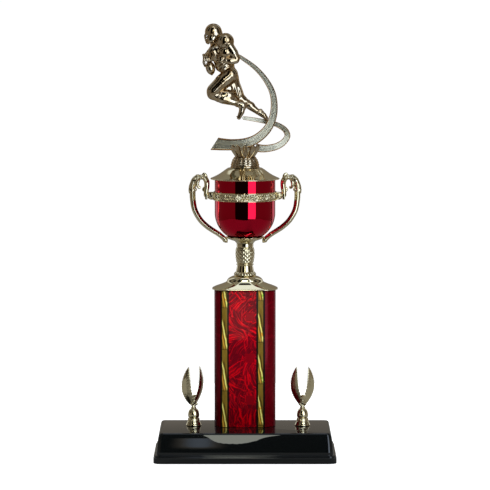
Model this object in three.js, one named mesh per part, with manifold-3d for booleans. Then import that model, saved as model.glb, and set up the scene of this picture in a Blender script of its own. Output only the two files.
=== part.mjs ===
// Sports trophy: a two-handled lidded cup on a foil-wrapped column, topped by a running ball player
// on a swirl of ribbon, with a winged eagle trim each side of the column, all on a moulded base.
// Everything is threaded on one long tie rod, nutted under the base and above the cup's lid.
// Millimetres, +Z up, origin at the middle of the base's underside, front of the trophy towards -Y.

import * as THREE from 'three';
import { mergeVertices } from 'three/addons/utils/BufferGeometryUtils.js';
import Module from 'manifold-3d';

// ---------------------------------------------------------------- driving dimensions

const GAP = 0.3; // clearance kept between touching pieces

const TOTAL_HEIGHT = 558.8; // 22 in trophy
const AXIS_Y = 15; // the stack stands behind the middle of the base, eagles and front room before it

const BASE = { width: 234, depth: 124, height: 38.5, corner: 9, wall: 2.6, ledge: 6.6 };
const WEIGHT = { width: 112, depth: 84, height: 9 };

const ROD_R = 3.1; // quarter-inch rod
const NUT = { across: 11.1, height: 5.4 };
const WASHER = { r: 12, height: 1.6 };

const COLUMN = { width: 79.2, depth: 46, corner: 16, wall: 2.2, height: 177.2 };
const COLUMN_TOP = BASE.height + GAP + COLUMN.height;
const CAP = { width: 84.6, depth: 51.4, corner: 19, height: 17.2, plugDepth: 9 };
const CAP_TOP = COLUMN_TOP + GAP + CAP.height;

const STEM_FOOT_Z = CAP_TOP + GAP;
const STEM_TOP_Z = 275.2;
const PETAL_TOP_R = 24.8;
const PETAL_TOP_Z = 284.4;

const CUP_R = 39.1;
const CUP_WALL = 1.2;
const CUP_BOWL_Z = 315; // where the round bottom meets the straight wall
const CUP_BOWL_DEPTH = 37;
const CUP_TOP_Z = 358.2;
const CUP_SEAT_R = 9; // flat patch at the bottom, clamped on the petals
const BAND = { low: 331.6, high: 342.6, thick: 1.5 };

const LID_RIM_R = 44.6;
const LID_TOP_R = 22.8;
const LID_TOP_Z = 373.2;

const HANDLE_TUBE = { r: 3.8, taper: 0.3 }; // radius at the top, and the share of it lost by the tip

const FIGURE_FLANGE_R = 18.6;
const FIGURE_FOOT_Z = LID_TOP_Z + GAP;
const CROWN_Z = 387.4; // neck between the ribbed bell and the crown of petals
const CROWN_TOP_Z = 404.4;
const CROWN_R = 19;
const RIBBON_SLANT = 4.6; // how far the broad end's lower corner reaches out past its middle

const EAGLE_Y = 10;
const EAGLES = [
  { side: 'left', x: -66.6, turn: 0.44 },
  { side: 'right', x: 74.6, turn: 0 },
];
const EAGLE_BELL_R = 10.2;
const EAGLE_BELL_H = 22.2;
const EAGLE_HEIGHT = 76.7;
const WING_SWEEP = 0.6; // how far back a wing lies for each millimetre outwards across it
const SCREW = { r: 1.9, headR: 4, headH: 2.4, washerR: 6, washerH: 1, depth: 14 };

const ROUND = 26; // sides of the round pieces
const SMALL_ROUND = 12; // sides of small round pieces

const GOLD = { color: 0xb9a978, roughness: 0.18, metalness: 1 };
const FINISH = {
  gold: GOLD,
  red: { color: 0x8c0418, roughness: 0.08, metalness: 1 },
  foil: { color: 0x9c0612, roughness: 0.3, metalness: 0.8 },
  black: { color: 0x0d0f10, roughness: 0.12, metalness: 0 },
  steel: { color: 0x9a9a98, roughness: 0.35, metalness: 1 },
  weight: { color: 0x4b4a48, roughness: 0.8, metalness: 0.2 },
};

// ---------------------------------------------------------------- solids

const wasm = await Module();
wasm.setup();

const trophy = new THREE.Group();

function signedVolume(geometry) {
  const p = geometry.attributes.position;
  const index = geometry.index.array;
  const [a, b, c] = [new THREE.Vector3(), new THREE.Vector3(), new THREE.Vector3()];
  let sum = 0;
  for (let i = 0; i < index.length; i += 3) {
    a.fromBufferAttribute(p, index[i]);
    b.fromBufferAttribute(p, index[i + 1]);
    c.fromBufferAttribute(p, index[i + 2]);
    sum += a.dot(b.cross(c));
  }
  return sum / 6;
}

// A closed three.js geometry with merged corners, as a solid whose faces point out.
function solid(geometry) {
  const bare = geometry.clone();
  bare.deleteAttribute('normal');
  bare.deleteAttribute('uv');
  const merged = mergeVertices(bare, 1e-4);
  const triVerts = Uint32Array.from(merged.index.array);
  if (signedVolume(merged) < 0) {
    for (let i = 0; i < triVerts.length; i += 3) {
      [triVerts[i], triVerts[i + 1]] = [triVerts[i + 1], triVerts[i]];
    }
  }
  const vertProperties = Float32Array.from(merged.attributes.position.array);
  return new wasm.Manifold(new wasm.Mesh({ numProp: 3, vertProperties, triVerts }));
}

function joined(first, ...others) {
  return others.reduce((sum, next) => sum.add(next), first);
}

function cut(first, ...others) {
  return others.reduce((rest, next) => rest.subtract(next), first);
}

function toGeometry(body) {
  const mesh = body.getMesh();
  const geometry = new THREE.BufferGeometry();
  geometry.setAttribute('position', new THREE.BufferAttribute(new Float32Array(mesh.vertProperties), 3));
  geometry.setIndex(new THREE.BufferAttribute(new Uint32Array(mesh.triVerts), 1));
  return geometry;
}

function addPiece(parent, name, body, finish) {
  const geometry = toGeometry(body).toNonIndexed();
  geometry.computeVertexNormals();
  const mesh = new THREE.Mesh(geometry, new THREE.MeshStandardMaterial(FINISH[finish]));
  mesh.name = name;
  parent.add(mesh);
}

// Turned solid about the Z axis from [radius, z] pairs; the profile starts and ends on the axis
// or closes on itself.
function turned(profile, sides = ROUND) {
  const points = profile.map(([r, z]) => new THREE.Vector2(r, z));
  return solid(new THREE.LatheGeometry(points, sides).rotateX(Math.PI / 2));
}

function rod(r, low, high, sides = SMALL_ROUND) {
  return turned([[0, low], [r, low], [r, high], [0, high]], sides);
}

function box(size, centre) {
  return solid(new THREE.BoxGeometry(...size).translate(...centre));
}

// Closed skin over a stack of rings, each an array of the same number of Vector3.
function skinned(rings) {
  const count = rings[0].length;
  const points = rings.flat();
  const index = [];
  for (let k = 0; k + 1 < rings.length; k++) {
    for (let i = 0; i < count; i++) {
      const a = k * count + i;
      const b = k * count + ((i + 1) % count);
      index.push(a, b, b + count, a, b + count, a + count);
    }
  }
  for (const [start, flip] of [[0, true], [(rings.length - 1) * count, false]]) {
    const centre = new THREE.Vector3();
    for (let i = 0; i < count; i++) centre.add(points[start + i]);
    points.push(centre.divideScalar(count));
    const hub = points.length - 1;
    for (let i = 0; i < count; i++) {
      const a = start + i;
      const b = start + ((i + 1) % count);
      index.push(...(flip ? [b, a, hub] : [a, b, hub]));
    }
  }
  const geometry = new THREE.BufferGeometry().setFromPoints(points);
  geometry.setIndex(index);
  return solid(geometry);
}

// Rounded rectangle at height z, with the same number of points whatever its size.
function roundedRing(width, depth, corner, z, steps = 4) {
  const ring = [];
  const r = Math.min(corner, width / 2 - 0.01, depth / 2 - 0.01);
  for (const [quarter, sx, sy] of [[0, 1, 1], [1, -1, 1], [2, -1, -1], [3, 1, -1]]) {
    for (let i = 0; i <= steps; i++) {
      const angle = ((quarter + i / steps) * Math.PI) / 2;
      const x = sx * (width / 2 - r) + r * Math.cos(angle);
      const y = sy * (depth / 2 - r) + r * Math.sin(angle);
      ring.push(new THREE.Vector3(x, y, z));
    }
  }
  return ring;
}

// Rod with round ends from a to b, its radius going from ra to rb.
function limb(a, b, ra, rb, sides = 8) {
  const from = new THREE.Vector3(...a);
  const along = new THREE.Vector3(...b).sub(from);
  const length = along.length();
  const points = [];
  for (const angle of [-1, -0.5, 0].map((part) => (part * Math.PI) / 2)) {
    points.push(new THREE.Vector2(ra * Math.cos(angle), ra * Math.sin(angle)));
  }
  for (const angle of [0, 0.5, 1].map((part) => (part * Math.PI) / 2)) {
    points.push(new THREE.Vector2(rb * Math.cos(angle), length + rb * Math.sin(angle)));
  }
  points[0].x = 0;
  points[points.length - 1].x = 0;
  const geometry = new THREE.LatheGeometry(points, sides);
  const turn = new THREE.Quaternion().setFromUnitVectors(new THREE.Vector3(0, 1, 0), along.normalize());
  return solid(geometry.applyQuaternion(turn).translate(...a));
}

function ball(centre, radii, turn = 0) {
  const geometry = new THREE.SphereGeometry(1, 12, 8).scale(...radii).rotateY(turn);
  return solid(geometry.translate(...centre));
}

// Section swept along a curve. Each point of a section is given sideways, upwards and ahead of the
// curve's own direction.
function swept(curve, steps, sectionAt, up) {
  const rings = [];
  for (let k = 0; k <= steps; k++) {
    const t = k / steps;
    const at = curve.getPointAt(t);
    const ahead = curve.getTangentAt(t);
    const side = new THREE.Vector3().crossVectors(up, ahead).normalize();
    const top = new THREE.Vector3().crossVectors(ahead, side);
    rings.push(sectionAt(t).map(([u, v, w = 0]) =>
      at.clone().addScaledVector(side, u).addScaledVector(top, v).addScaledVector(ahead, w)));
  }
  return skinned(rings);
}

function ellipse(a, b, sides) {
  const points = [];
  for (let i = 0; i < sides; i++) {
    const angle = (i * 2 * Math.PI) / sides;
    points.push([a * Math.cos(angle), b * Math.sin(angle)]);
  }
  return points;
}

// ---------------------------------------------------------------- base

const PLATE = 3.2; // thickness of the base's flat top
const CEILING = BASE.height - PLATE;
const WEIGHT_TOP = CEILING - GAP;
const WEIGHT_LOW = WEIGHT_TOP - WEIGHT.height;
const WASHER_TOP = WEIGHT_LOW - GAP;
const NUT_TOP = WASHER_TOP - WASHER.height - GAP;
const ROD_LOW = NUT_TOP - NUT.height - 2.5;

function makeBase() {
  const { width, depth, height, corner, wall, ledge } = BASE;
  // inset from the widest outline, and height: ledge, two small steps, cove, drafted wall, round edge
  const outline = [
    [0.4, 0], [0, 0.6], [0, ledge], [0.9, ledge + 0.9], [1.1, ledge + 2.6], [1.9, ledge + 3.3],
    [3.7, 14.6], [5.1, 26], [6, 33], [7.1, height - 1.5], [9, height],
  ];
  const ring = ([inset, z]) =>
    roundedRing(width - 2 * inset, depth - 2 * inset, corner - inset / 2, z);
  const shell = skinned(outline.map(ring));
  const hollow = skinned([
    roundedRing(width - 2 * wall, depth - 2 * wall, corner - wall, -1),
    roundedRing(width - 2 * wall, depth - 2 * wall, corner - wall, ledge),
    roundedRing(width - 2 * wall - 10.8, depth - 2 * wall - 10.8, corner - wall, 18),
    roundedRing(width - 2 * wall - 13.5, depth - 2 * wall - 13.5, corner - wall, CEILING),
  ]);
  const rodHole = rod(ROD_R + GAP, CEILING - 1, height + 1).translate([0, AXIS_Y, 0]);
  const screwHoles = EAGLES.map(({ x }) =>
    rod(SCREW.r + GAP, CEILING - 1, height + 1).translate([x, EAGLE_Y, 0]));
  addPiece(trophy, 'base_shell', cut(shell, hollow, rodHole, ...screwHoles), 'black');
}

// ballast slab clamped under the base's top, between the eagles' screws
function makeWeight() {
  const slab = box([WEIGHT.width, WEIGHT.depth, WEIGHT.height], [0, 0, WEIGHT_LOW + WEIGHT.height / 2]);
  const rodHole = rod(ROD_R + GAP, 0, BASE.height).translate([0, AXIS_Y, 0]);
  addPiece(trophy, 'base_weight', cut(slab, rodHole), 'weight');
}

// ---------------------------------------------------------------- tie rod and its fasteners

const LID_WASHER = { r: 9, height: 1.2 };
const LID_NUT_LOW = LID_TOP_Z + GAP + LID_WASHER.height + GAP;
const ROD_TOP = CROWN_Z - 0.5;

function hexNut(low, name, parent) {
  const nut = rod(NUT.across / Math.sqrt(3), low, low + NUT.height, 6);
  const hole = rod(ROD_R + GAP, low - 1, low + NUT.height + 1);
  addPiece(parent, name, cut(nut, hole), 'steel');
}

function flatWasher({ r, height }, low, name, parent) {
  const disc = rod(r, low, low + height, 20);
  const hole = rod(ROD_R + GAP, low - 1, low + height + 1);
  addPiece(parent, name, cut(disc, hole), 'steel');
}

function makeTieRod(stack) {
  addPiece(stack, 'tie_rod', rod(ROD_R, ROD_LOW, ROD_TOP), 'steel');
  flatWasher(WASHER, WASHER_TOP - WASHER.height, 'base_washer', stack);
  hexNut(NUT_TOP - NUT.height, 'base_nut', stack);
  flatWasher(LID_WASHER, LID_TOP_Z + GAP, 'lid_washer', stack);
  hexNut(LID_NUT_LOW, 'lid_nut', stack);
}

// ---------------------------------------------------------------- column and cap

function makeColumn(stack) {
  const { width, depth, corner, wall } = COLUMN;
  const low = BASE.height + GAP;
  const outer = skinned([low, COLUMN_TOP].map((z) => roundedRing(width, depth, corner, z, 5)));
  const inner = skinned([low - 1, COLUMN_TOP + 1].map((z) =>
    roundedRing(width - 2 * wall, depth - 2 * wall, corner - wall, z, 5)));
  addPiece(stack, 'column_tube', cut(outer, inner), 'foil');
}

// Flared cap: a lip, a roof and a round-shouldered step, with a plug into the tube.
function makeColumnCap(stack) {
  const { width, depth, corner, plugDepth } = CAP;
  const low = COLUMN_TOP + GAP;
  const roof = [];
  roof.push(roundedRing(width - 1.2, depth - 1.2, corner, low, 5));
  roof.push(roundedRing(width, depth, corner, low + 0.7, 5));
  roof.push(roundedRing(width - 1.4, depth - 1.4, corner, low + 1.9, 5));
  // half-width and half-depth of the roof and the step above it, and height above the tube's top
  const rise = [
    [39.6, 24.5, 3.2], [36.6, 23.5, 4.5], [33.1, 22.6, 5.8], [29.6, 21.7, 7], [26.6, 20.8, 8.3],
    [24.2, 19.9, 9.5], [23.2, 18.9, 11], [21.2, 17.8, 13.8], [18.6, 16.7, 16.1], [15.4, 15.2, CAP.height],
  ];
  const stepHalf = 24.2; // inside this half-width the roof has rounded off into the step
  for (const [half, halfDepth, up] of rise) {
    const square = Math.max(0, (half - stepHalf) / (width / 2 - stepHalf));
    const round = THREE.MathUtils.lerp(Math.min(half, halfDepth), corner, square);
    roof.push(roundedRing(2 * half, 2 * halfDepth, round, low + up, 5));
  }
  const cap = skinned(roof);
  const inside = COLUMN.wall + GAP;
  const plug = skinned([low - plugDepth, low + 1].map((z) =>
    roundedRing(COLUMN.width - 2 * inside, COLUMN.depth - 2 * inside, COLUMN.corner - inside, z, 5)));
  const core = skinned([[low - plugDepth - 1, 0], [low + 2, 0], [low + 10, 18]].map(([z, draw]) =>
    roundedRing(COLUMN.width - 10 - 2 * draw, COLUMN.depth - 10 - draw, COLUMN.corner - 5, z, 5)));
  const hole = rod(ROD_R + GAP, low - plugDepth, CAP_TOP + 1);
  addPiece(stack, 'column_cap', cut(joined(cap, plug), core, hole), 'gold');
}

// ---------------------------------------------------------------- stem, petals, cup, lid

const BORE = ROD_R + GAP;

// Turned riser: a leafed foot, a waist with a bead, and a tall barrel under a collar.
function makeStem(stack) {
  const z0 = STEM_FOOT_Z;
  const profile = [
    [BORE, z0], [14.6, z0], [14.8, z0 + 0.8], [13.4, z0 + 2.8], [11.5, z0 + 5.2], [10.5, z0 + 7.6],
    [10.6, z0 + 11], [11.4, z0 + 14.2], [11.1, z0 + 16], [11.5, z0 + 20], [12.2, z0 + 26],
    [12.6, z0 + 31], [12, z0 + 35.4], [10.9, z0 + 38.4], [11.4, STEM_TOP_Z - 1], [11.2, STEM_TOP_Z],
    [BORE, STEM_TOP_Z], [BORE, z0],
  ];
  addPiece(stack, 'stem', turned(profile, 20), 'gold');
}

// Half-profile of the cup's skin, from its flat seat round the bowl and up to the rim, set in by inset.
function cupProfile(inset) {
  const steps = 6;
  const start = Math.asin(CUP_SEAT_R / CUP_R);
  const profile = [];
  for (let i = 0; i <= steps; i++) {
    const angle = THREE.MathUtils.lerp(start, Math.PI / 2, i / steps);
    const depth = CUP_BOWL_DEPTH - inset;
    profile.push([(CUP_R - inset) * Math.sin(angle), CUP_BOWL_Z - depth * Math.cos(angle)]);
  }
  profile.push([CUP_R - inset, CUP_TOP_Z]);
  return profile;
}

function makePetals(stack) {
  const low = STEM_TOP_Z + GAP;
  const cupLow = cupProfile(0)[0][1];
  const holder = turned([[BORE, low], [11.6, low], [12.4, low + 1.6], [14, low + 3.4], [18.4, low + 5],
    [22.4, low + 6.6], [PETAL_TOP_R, PETAL_TOP_Z - 1], [PETAL_TOP_R - 0.4, PETAL_TOP_Z],
    [BORE, PETAL_TOP_Z], [BORE, low]]);
  const seat = cupProfile(-0.5).slice(0, -1);
  const dent = turned([[0, cupLow - 0.5], ...seat, [0, CUP_BOWL_Z]]);
  addPiece(stack, 'cup_petals', cut(holder, dent), 'gold');
}

function makeCup(stack) {
  const outside = cupProfile(0);
  const inside = cupProfile(CUP_WALL).reverse();
  const [low, floor] = [outside[0][1], inside.at(-1)[1]];
  const profile = [[BORE, low], ...outside, ...inside, [BORE, floor], [BORE, low]];
  addPiece(stack, 'cup_bowl', turned(profile), 'red');
}

// Ring round the cup with a square lug each side, which the handles hang from.
const LUG = { reach: 48, width: 7 };

function makeBand(stack) {
  const inner = CUP_R + GAP + 0.2;
  const outer = inner + BAND.thick;
  const mid = (BAND.low + BAND.high) / 2;
  const ring = turned([
    [inner, BAND.low], [outer - 0.3, BAND.low], [outer + 0.2, BAND.low + 1], [outer - 0.3, BAND.low + 2],
    [outer - 0.3, BAND.high - 2], [outer + 0.2, BAND.high - 1], [outer - 0.3, BAND.high],
    [inner, BAND.high], [inner, BAND.low],
  ]);
  const reach = LUG.reach - inner - 0.6;
  const lugs = [-1, 1].map((side) =>
    box([reach, LUG.width, BAND.high - BAND.low], [side * (inner + 0.6 + reach / 2), 0, mid]));
  addPiece(stack, 'cup_band', joined(ring, ...lugs), 'gold');
}

// Spun cone with a rolled rim and a flat top.
function makeLid(stack) {
  const low = CUP_TOP_Z + GAP;
  const thick = 1.4;
  const slope = [[43.4, 360.3], [38.4, 362.6], [33.2, 365.2], [28, 369], [LID_TOP_R, LID_TOP_Z]];
  const under = slope.slice(1).reverse().map(([r, z]) => [r - 0.7, z - thick]);
  const profile = [[LID_RIM_R - 0.6, low], [LID_RIM_R, low + 0.7], ...slope, [BORE, LID_TOP_Z],
    [BORE, LID_TOP_Z - thick], ...under, [37, low], [LID_RIM_R - 0.6, low]];
  addPiece(stack, 'cup_lid', turned(profile), 'gold');
}

// ---------------------------------------------------------------- handles

function smoothPath(points) {
  return new THREE.CatmullRomCurve3(points.map((p) => new THREE.Vector3(...p)));
}

const SIDEWAYS = new THREE.Vector3(0, 1, 0);

// One handle for the +X side: a scroll off the lug, over an arch, then a long tube curving in below.
function handleSolid() {
  const lugX = LUG.reach + GAP;
  const path = smoothPath([
    [61, 0, 360.6], [65.4, 0, 356.6], [67.3, 0, 350], [67.6, 0, 342], [67.2, 0, 331.5], [64.7, 0, 318.6],
    [57.8, 0, 306.2], [49.4, 0, 297.8], [41.4, 0, 292.2], [33.8, 0, 287.4], [28.6, 0, 283], [25.2, 0, 279.2],
  ]);
  const radius = (t) => HANDLE_TUBE.r * (1 - HANDLE_TUBE.taper * t);
  const tube = swept(path, 18, (t) => ellipse(radius(t), radius(t), 8), SIDEWAYS);
  const arch = smoothPath([
    [lugX + 2.6, 0, 338], [lugX + 1.4, 0, 345], [48.8, 0, 350.6], [49.4, 0, 356.6], [52.6, 0, 361],
    [57.4, 0, 361.6], [62.4, 0, 359], [66.4, 0, 354],
  ]);
  const swell = (t) => Math.sin(Math.PI * t);
  const scroll = swept(arch, 10, (t) => ellipse(2.4 + 1.4 * swell(t), 2.8 + 1.4 * swell(t), 8), SIDEWAYS);
  const foot = box([4, LUG.width, 8], [lugX + 2, 0, 336.6]);
  const crest = limb([53, 0, 362], [52.3, 0, 364.6], 3.2, 1.8, 6);
  const outerLeaf = limb([67.4, 0, 352], [71.4, 0, 342.4], 3.2, 1.2, 6);
  const innerLeaf = limb([60.6, 0, 356], [59.4, 0, 346], 3, 1.5, 6);
  const lugRoom = box([8, 40, 40], [lugX - 4, 0, 336.4]);
  return cut(joined(tube, scroll, foot, crest, outerLeaf, innerLeaf), lugRoom);
}

function makeHandles(stack) {
  const right = handleSolid();
  addPiece(stack, 'handle_right', right, 'gold');
  addPiece(stack, 'handle_left', right.rotate([0, 0, 180]), 'gold');
}

// ---------------------------------------------------------------- figure on its base

// Bell with a flange below and a crown of petals above, hollow to pass over the lid's nut, and
// slotted for the ribbons that stand in the crown.
function makeFigureBase(figure) {
  const z0 = FIGURE_FOOT_Z;
  const mouthR = 10.2;
  const body = turned([
    [mouthR, z0], [FIGURE_FLANGE_R - 0.5, z0], [FIGURE_FLANGE_R, z0 + 0.6], [FIGURE_FLANGE_R, z0 + 3],
    [17.4, z0 + 5.6], [16.2, z0 + 8.8], [14.6, z0 + 12], [13.6, CROWN_Z], [14.8, CROWN_Z + 2.6],
    [CROWN_R - 1.2, CROWN_Z + 8.4], [CROWN_R, CROWN_TOP_Z - 1], [CROWN_R - 1.6, CROWN_TOP_Z - 1.6],
    [11.5, CROWN_Z + 7], [0, CROWN_Z + 6], [0, CROWN_Z + 1.5], [mouthR, CROWN_Z + 1.5], [mouthR, z0],
  ]);
  addPiece(figure, 'figure_base', cut(body, mainRibbon(GAP), loopRibbon(GAP + 0.1)), 'gold');
}

// threaded insert held in the bell, which the rod's top screws into
function makeFigureInsert(figure) {
  const low = LID_NUT_LOW + NUT.height + GAP;
  const high = CROWN_Z + 1.2;
  const insert = cut(rod(9.8, low, high, 20), rod(ROD_R + GAP, low - 1, high - 0.9));
  addPiece(figure, 'figure_insert', insert, 'steel');
}

// Swoosh of satin ribbon standing in the plane of the player: broad at its cut end, fine at the elbow.
function mainRibbon(extra) {
  const path = smoothPath([
    [-39.4, -4, 404.4], [-28, -4.6, 403.6], [-15, -5, 403.4], [1, -4.6, 405.4], [15, -3.4, 411],
    [28, -1.6, 422.4], [35.4, 0, 437], [37.6, 1, 453], [35.2, 1.8, 470], [26.8, 2.2, 486.2],
    [13.6, 2.2, 501.4], [-3.4, 2, 514], [-12.6, 1.6, 519.2],
  ]);
  const half = (t) => THREE.MathUtils.lerp(8.6, 2, t ** 0.9) + extra;
  const thick = 1 + extra;
  const slant = (t) => RIBBON_SLANT * Math.max(0, 1 - t / 0.12);
  const section = (t) => [
    [half(t), thick, -slant(t)], [0, thick + 0.7], [-half(t), thick, slant(t)],
    [-half(t), -thick, slant(t)], [0, -thick - 0.7], [half(t), -thick, -slant(t)],
  ];
  return swept(path, 26, section, SIDEWAYS);
}

// Narrower ribbon looping out to the right and back under the player's feet.
function loopRibbon(extra) {
  const path = smoothPath([
    [14, 3.4, 399], [22, 4, 397.8], [31, 4.8, 398.2], [41, 6, 400.6], [49.6, 8, 405.8], [54.8, 10, 413.8],
    [51.4, 11.4, 421.8], [42, 12, 427.8], [30.4, 11.8, 431.2], [16, 10.4, 434.2], [4, 8, 436.2],
    [-3.6, 5.4, 437.4],
  ]);
  const section = (t) => ellipse(THREE.MathUtils.lerp(5.6, 2.2, t) + extra, 1.5 + extra, 8);
  return swept(path, 26, section, SIDEWAYS);
}

// Runner leaning into the stride towards -X, as plain rounded limbs, each radius grown by extra.
function playerBody(extra) {
  const grown = (a, b, ra, rb) => limb(a, b, ra + extra, rb + extra);
  const chest = grown([-33.4, 0, 522.6], [-26.8, 1, 507], 13, 11.2);
  const waist = grown([-24.6, 1, 505], [-18.6, 2, 492.4], 10.8, 10);
  const pads = grown([-24.8, -14, 536], [-35, 14, 532.4], 10, 9.4);
  const neck = grown([-35.5, 0, 532], [-38.5, 0, 539.4], 6.6, 5.8);
  const nearArm = joined(
    grown([-20.4, -16, 530], [-11.4, -15.6, 515], 6.4, 5),
    grown([-11.4, -15.6, 515], [-25, -16.5, 512.6], 5, 4.4),
    grown([-24.6, -15.4, 522.4], [-29.4, -15.6, 513], 7, 5));
  const farArm = joined(
    grown([-36, 14, 532], [-44, 14, 520.6], 6, 5),
    grown([-44, 14, 520.6], [-49.2, 1.5, 516], 4.8, 5));
  const frontLeg = joined(
    grown([-19.4, -4.2, 492.8], [-40.6, -6.2, 471.6], 10, 8.8),
    grown([-40.8, -6.2, 469.6], [-9, -5, 456], 8, 4.4),
    grown([-26, -6, 468], [-14, -2, 470], 7.6, 7),
    grown([-3.6, -4.8, 453.6], [-6.4, -4.5, 441], 4.6, 3.4),
    grown([-6.4, -4.5, 441], [-8.6, -4.4, 437.2], 3.2, 2.4));
  const rearLeg = joined(
    grown([-17.6, 7, 488], [-5.4, 7.2, 463], 10, 7.4),
    grown([-2.6, 7.4, 460], [20.4, 7.6, 443.8], 5.8, 3.6),
    grown([20.4, 7.6, 443.8], [25.8, 7.6, 437.2], 3.6, 2.8));
  return joined(chest, waist, pads, neck, nearArm, farArm, frontLeg, rearLeg);
}

function gameBall(extra) {
  return ball([-44.4, -2, 501.8], [6.2 + extra, 6.2 + extra, 9.4 + extra], -0.22);
}

// helmet with its chin and face guard, and the head that fills it
function makeHelmet(figure) {
  const shell = ball([-40.6, 0, TOTAL_HEIGHT - 10.9], [11, 10.2, 10.9]);
  const jaw = ball([-44.8, 0, 540], [7.6, 7, 6]);
  const guard = limb([-50.6, -4.5, 536.4], [-50.6, 4.5, 536.4], 3.6, 3.6);
  const solids = cut(joined(shell, jaw, guard), playerBody(GAP)).decompose();
  solids.sort((a, b) => b.volume() - a.volume());
  addPiece(figure, 'player_helmet', solids[0], 'gold');
}

function makeFigure(stack) {
  const figure = new THREE.Group();
  makeFigureBase(figure);
  makeFigureInsert(figure);
  addPiece(figure, 'ribbon_main', mainRibbon(0), 'gold');
  addPiece(figure, 'ribbon_loop', cut(loopRibbon(0), mainRibbon(GAP)), 'gold');
  const player = cut(playerBody(0), gameBall(GAP), mainRibbon(GAP), loopRibbon(GAP));
  addPiece(figure, 'player_body', player, 'gold');
  makeHelmet(figure);
  addPiece(figure, 'player_ball', gameBall(0), 'gold');
  stack.add(figure);
}

// ---------------------------------------------------------------- eagle trims

function makeEagleBell(parent, side) {
  const profile = [
    [SCREW.r + GAP, 0], [EAGLE_BELL_R, 0], [EAGLE_BELL_R, 1], [8.8, 4], [7.5, 8.6], [6.6, 10.4],
    [7.3, 11.8], [7.1, 14.6], [5.8, 18.6], [3.8, EAGLE_BELL_H], [0, EAGLE_BELL_H],
    [0, 14.6], [SCREW.r + GAP, 14.6], [SCREW.r + GAP, 0],
  ];
  addPiece(parent, `eagle_${side}_bell`, turned(profile, 20), 'gold');
}

// Wing for the +X side: a thin blade bulging outward to a point.
function wingSolid() {
  const path = smoothPath([[2.4, 0.6, 29], [5.4, 0.9, 35.4], [8.6, 0.8, 43], [10.4, 0.2, 52],
    [10.4, -0.8, 63], [8, -1.6, EAGLE_HEIGHT - 0.8]]);
  const half = (t) => 0.6 + 4.8 * Math.sin(Math.PI * Math.min(1, 0.16 + t * 0.84)) ** 0.8;
  const section = (t) => ellipse(half(t), 1.6 - 0.6 * t, 6).map(([u, v]) => [u, v + WING_SWEEP * u]);
  return swept(path, 10, section, SIDEWAYS);
}

function makeEagleBird(parent, side) {
  const low = EAGLE_BELL_H + GAP;
  const legs = limb([0, 0, low + 3.2], [0, 0, 28], 3.1, 3.6);
  const chest = limb([0, 0, 28.6], [0, 0, 35], 3.6, 3.2);
  const crown = limb([0, -0.6, 34], [0, -1.6, 36.4], 2.8, 2.4);
  const head = joined(crown, limb([0, -3, 36.6], [0, -5, 34.6], 1.4, 0.7, 6));
  const right = wingSolid();
  const left = right.mirror([1, 0, 0]);
  addPiece(parent, `eagle_${side}_bird`, joined(legs, chest, head, right, left), 'gold');
}

function makeEagle({ side, x, turn }) {
  const trim = new THREE.Group();
  trim.position.set(x, EAGLE_Y, BASE.height + GAP);
  trim.rotation.z = turn;
  makeEagleBell(trim, side);
  makeEagleBird(trim, side);
  trophy.add(trim);
}

// screw from below, through a washer under the base's top, into the eagle's bell
function makeEagleScrew({ side, x }) {
  const place = new THREE.Group();
  place.position.set(x, EAGLE_Y, 0);
  const washerTop = CEILING - GAP;
  const washerLow = washerTop - SCREW.washerH;
  const headTop = washerLow - GAP;
  const washer = cut(rod(SCREW.washerR, washerLow, washerTop, 20), rod(SCREW.r + GAP, 0, CEILING));
  addPiece(place, `eagle_${side}_washer`, washer, 'steel');
  const screw = joined(
    rod(SCREW.headR, headTop - SCREW.headH, headTop, 16),
    rod(SCREW.r, headTop - 0.1, BASE.height + GAP + SCREW.depth));
  addPiece(place, `eagle_${side}_screw`, screw, 'steel');
  trophy.add(place);
}

// ---------------------------------------------------------------- assembly

makeBase();
makeWeight();

const stack = new THREE.Group();
stack.position.y = AXIS_Y;
makeTieRod(stack);
makeColumn(stack);
makeColumnCap(stack);
makeStem(stack);
makePetals(stack);
makeCup(stack);
makeBand(stack);
makeLid(stack);
makeHandles(stack);
makeFigure(stack);
trophy.add(stack);

for (const eagle of EAGLES) {
  makeEagle(eagle);
  makeEagleScrew(eagle);
}

trophy.updateMatrixWorld(true);

export default trophy;
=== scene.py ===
"""The looks of a lidded cup trophy: plated cup and trims, foil-wrapped column, glossy black base and a
sculpted ball player on a swirl of ribbon. Shapes are worked out in millimetres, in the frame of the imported
model, and written to the meshes in metres."""

import math

import bmesh
import bpy
import numpy as np
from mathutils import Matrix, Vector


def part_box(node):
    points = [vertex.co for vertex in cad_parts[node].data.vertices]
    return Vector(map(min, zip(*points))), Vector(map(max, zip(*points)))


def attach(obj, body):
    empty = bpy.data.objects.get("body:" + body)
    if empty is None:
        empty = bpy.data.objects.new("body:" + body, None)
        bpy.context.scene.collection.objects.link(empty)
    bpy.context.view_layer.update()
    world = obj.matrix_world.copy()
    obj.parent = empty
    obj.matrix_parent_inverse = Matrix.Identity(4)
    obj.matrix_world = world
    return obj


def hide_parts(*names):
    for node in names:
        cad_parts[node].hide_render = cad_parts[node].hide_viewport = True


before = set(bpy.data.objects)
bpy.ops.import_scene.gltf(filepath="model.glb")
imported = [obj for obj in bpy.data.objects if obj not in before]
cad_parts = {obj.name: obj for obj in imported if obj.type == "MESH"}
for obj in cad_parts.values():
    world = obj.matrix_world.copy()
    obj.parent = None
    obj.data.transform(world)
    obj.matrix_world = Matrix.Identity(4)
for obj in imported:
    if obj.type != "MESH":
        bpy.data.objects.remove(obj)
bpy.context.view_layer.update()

MM = 1000.0  # millimetres in a metre


def span(node):
    """Lowest and highest corner of a CAD node, in millimetres."""
    low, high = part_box(node)
    return np.array(low) * MM, np.array(high) * MM


def levels(node):
    """Height of a CAD node's foot and of its top."""
    low, high = span(node)
    return low[2], high[2]


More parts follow.
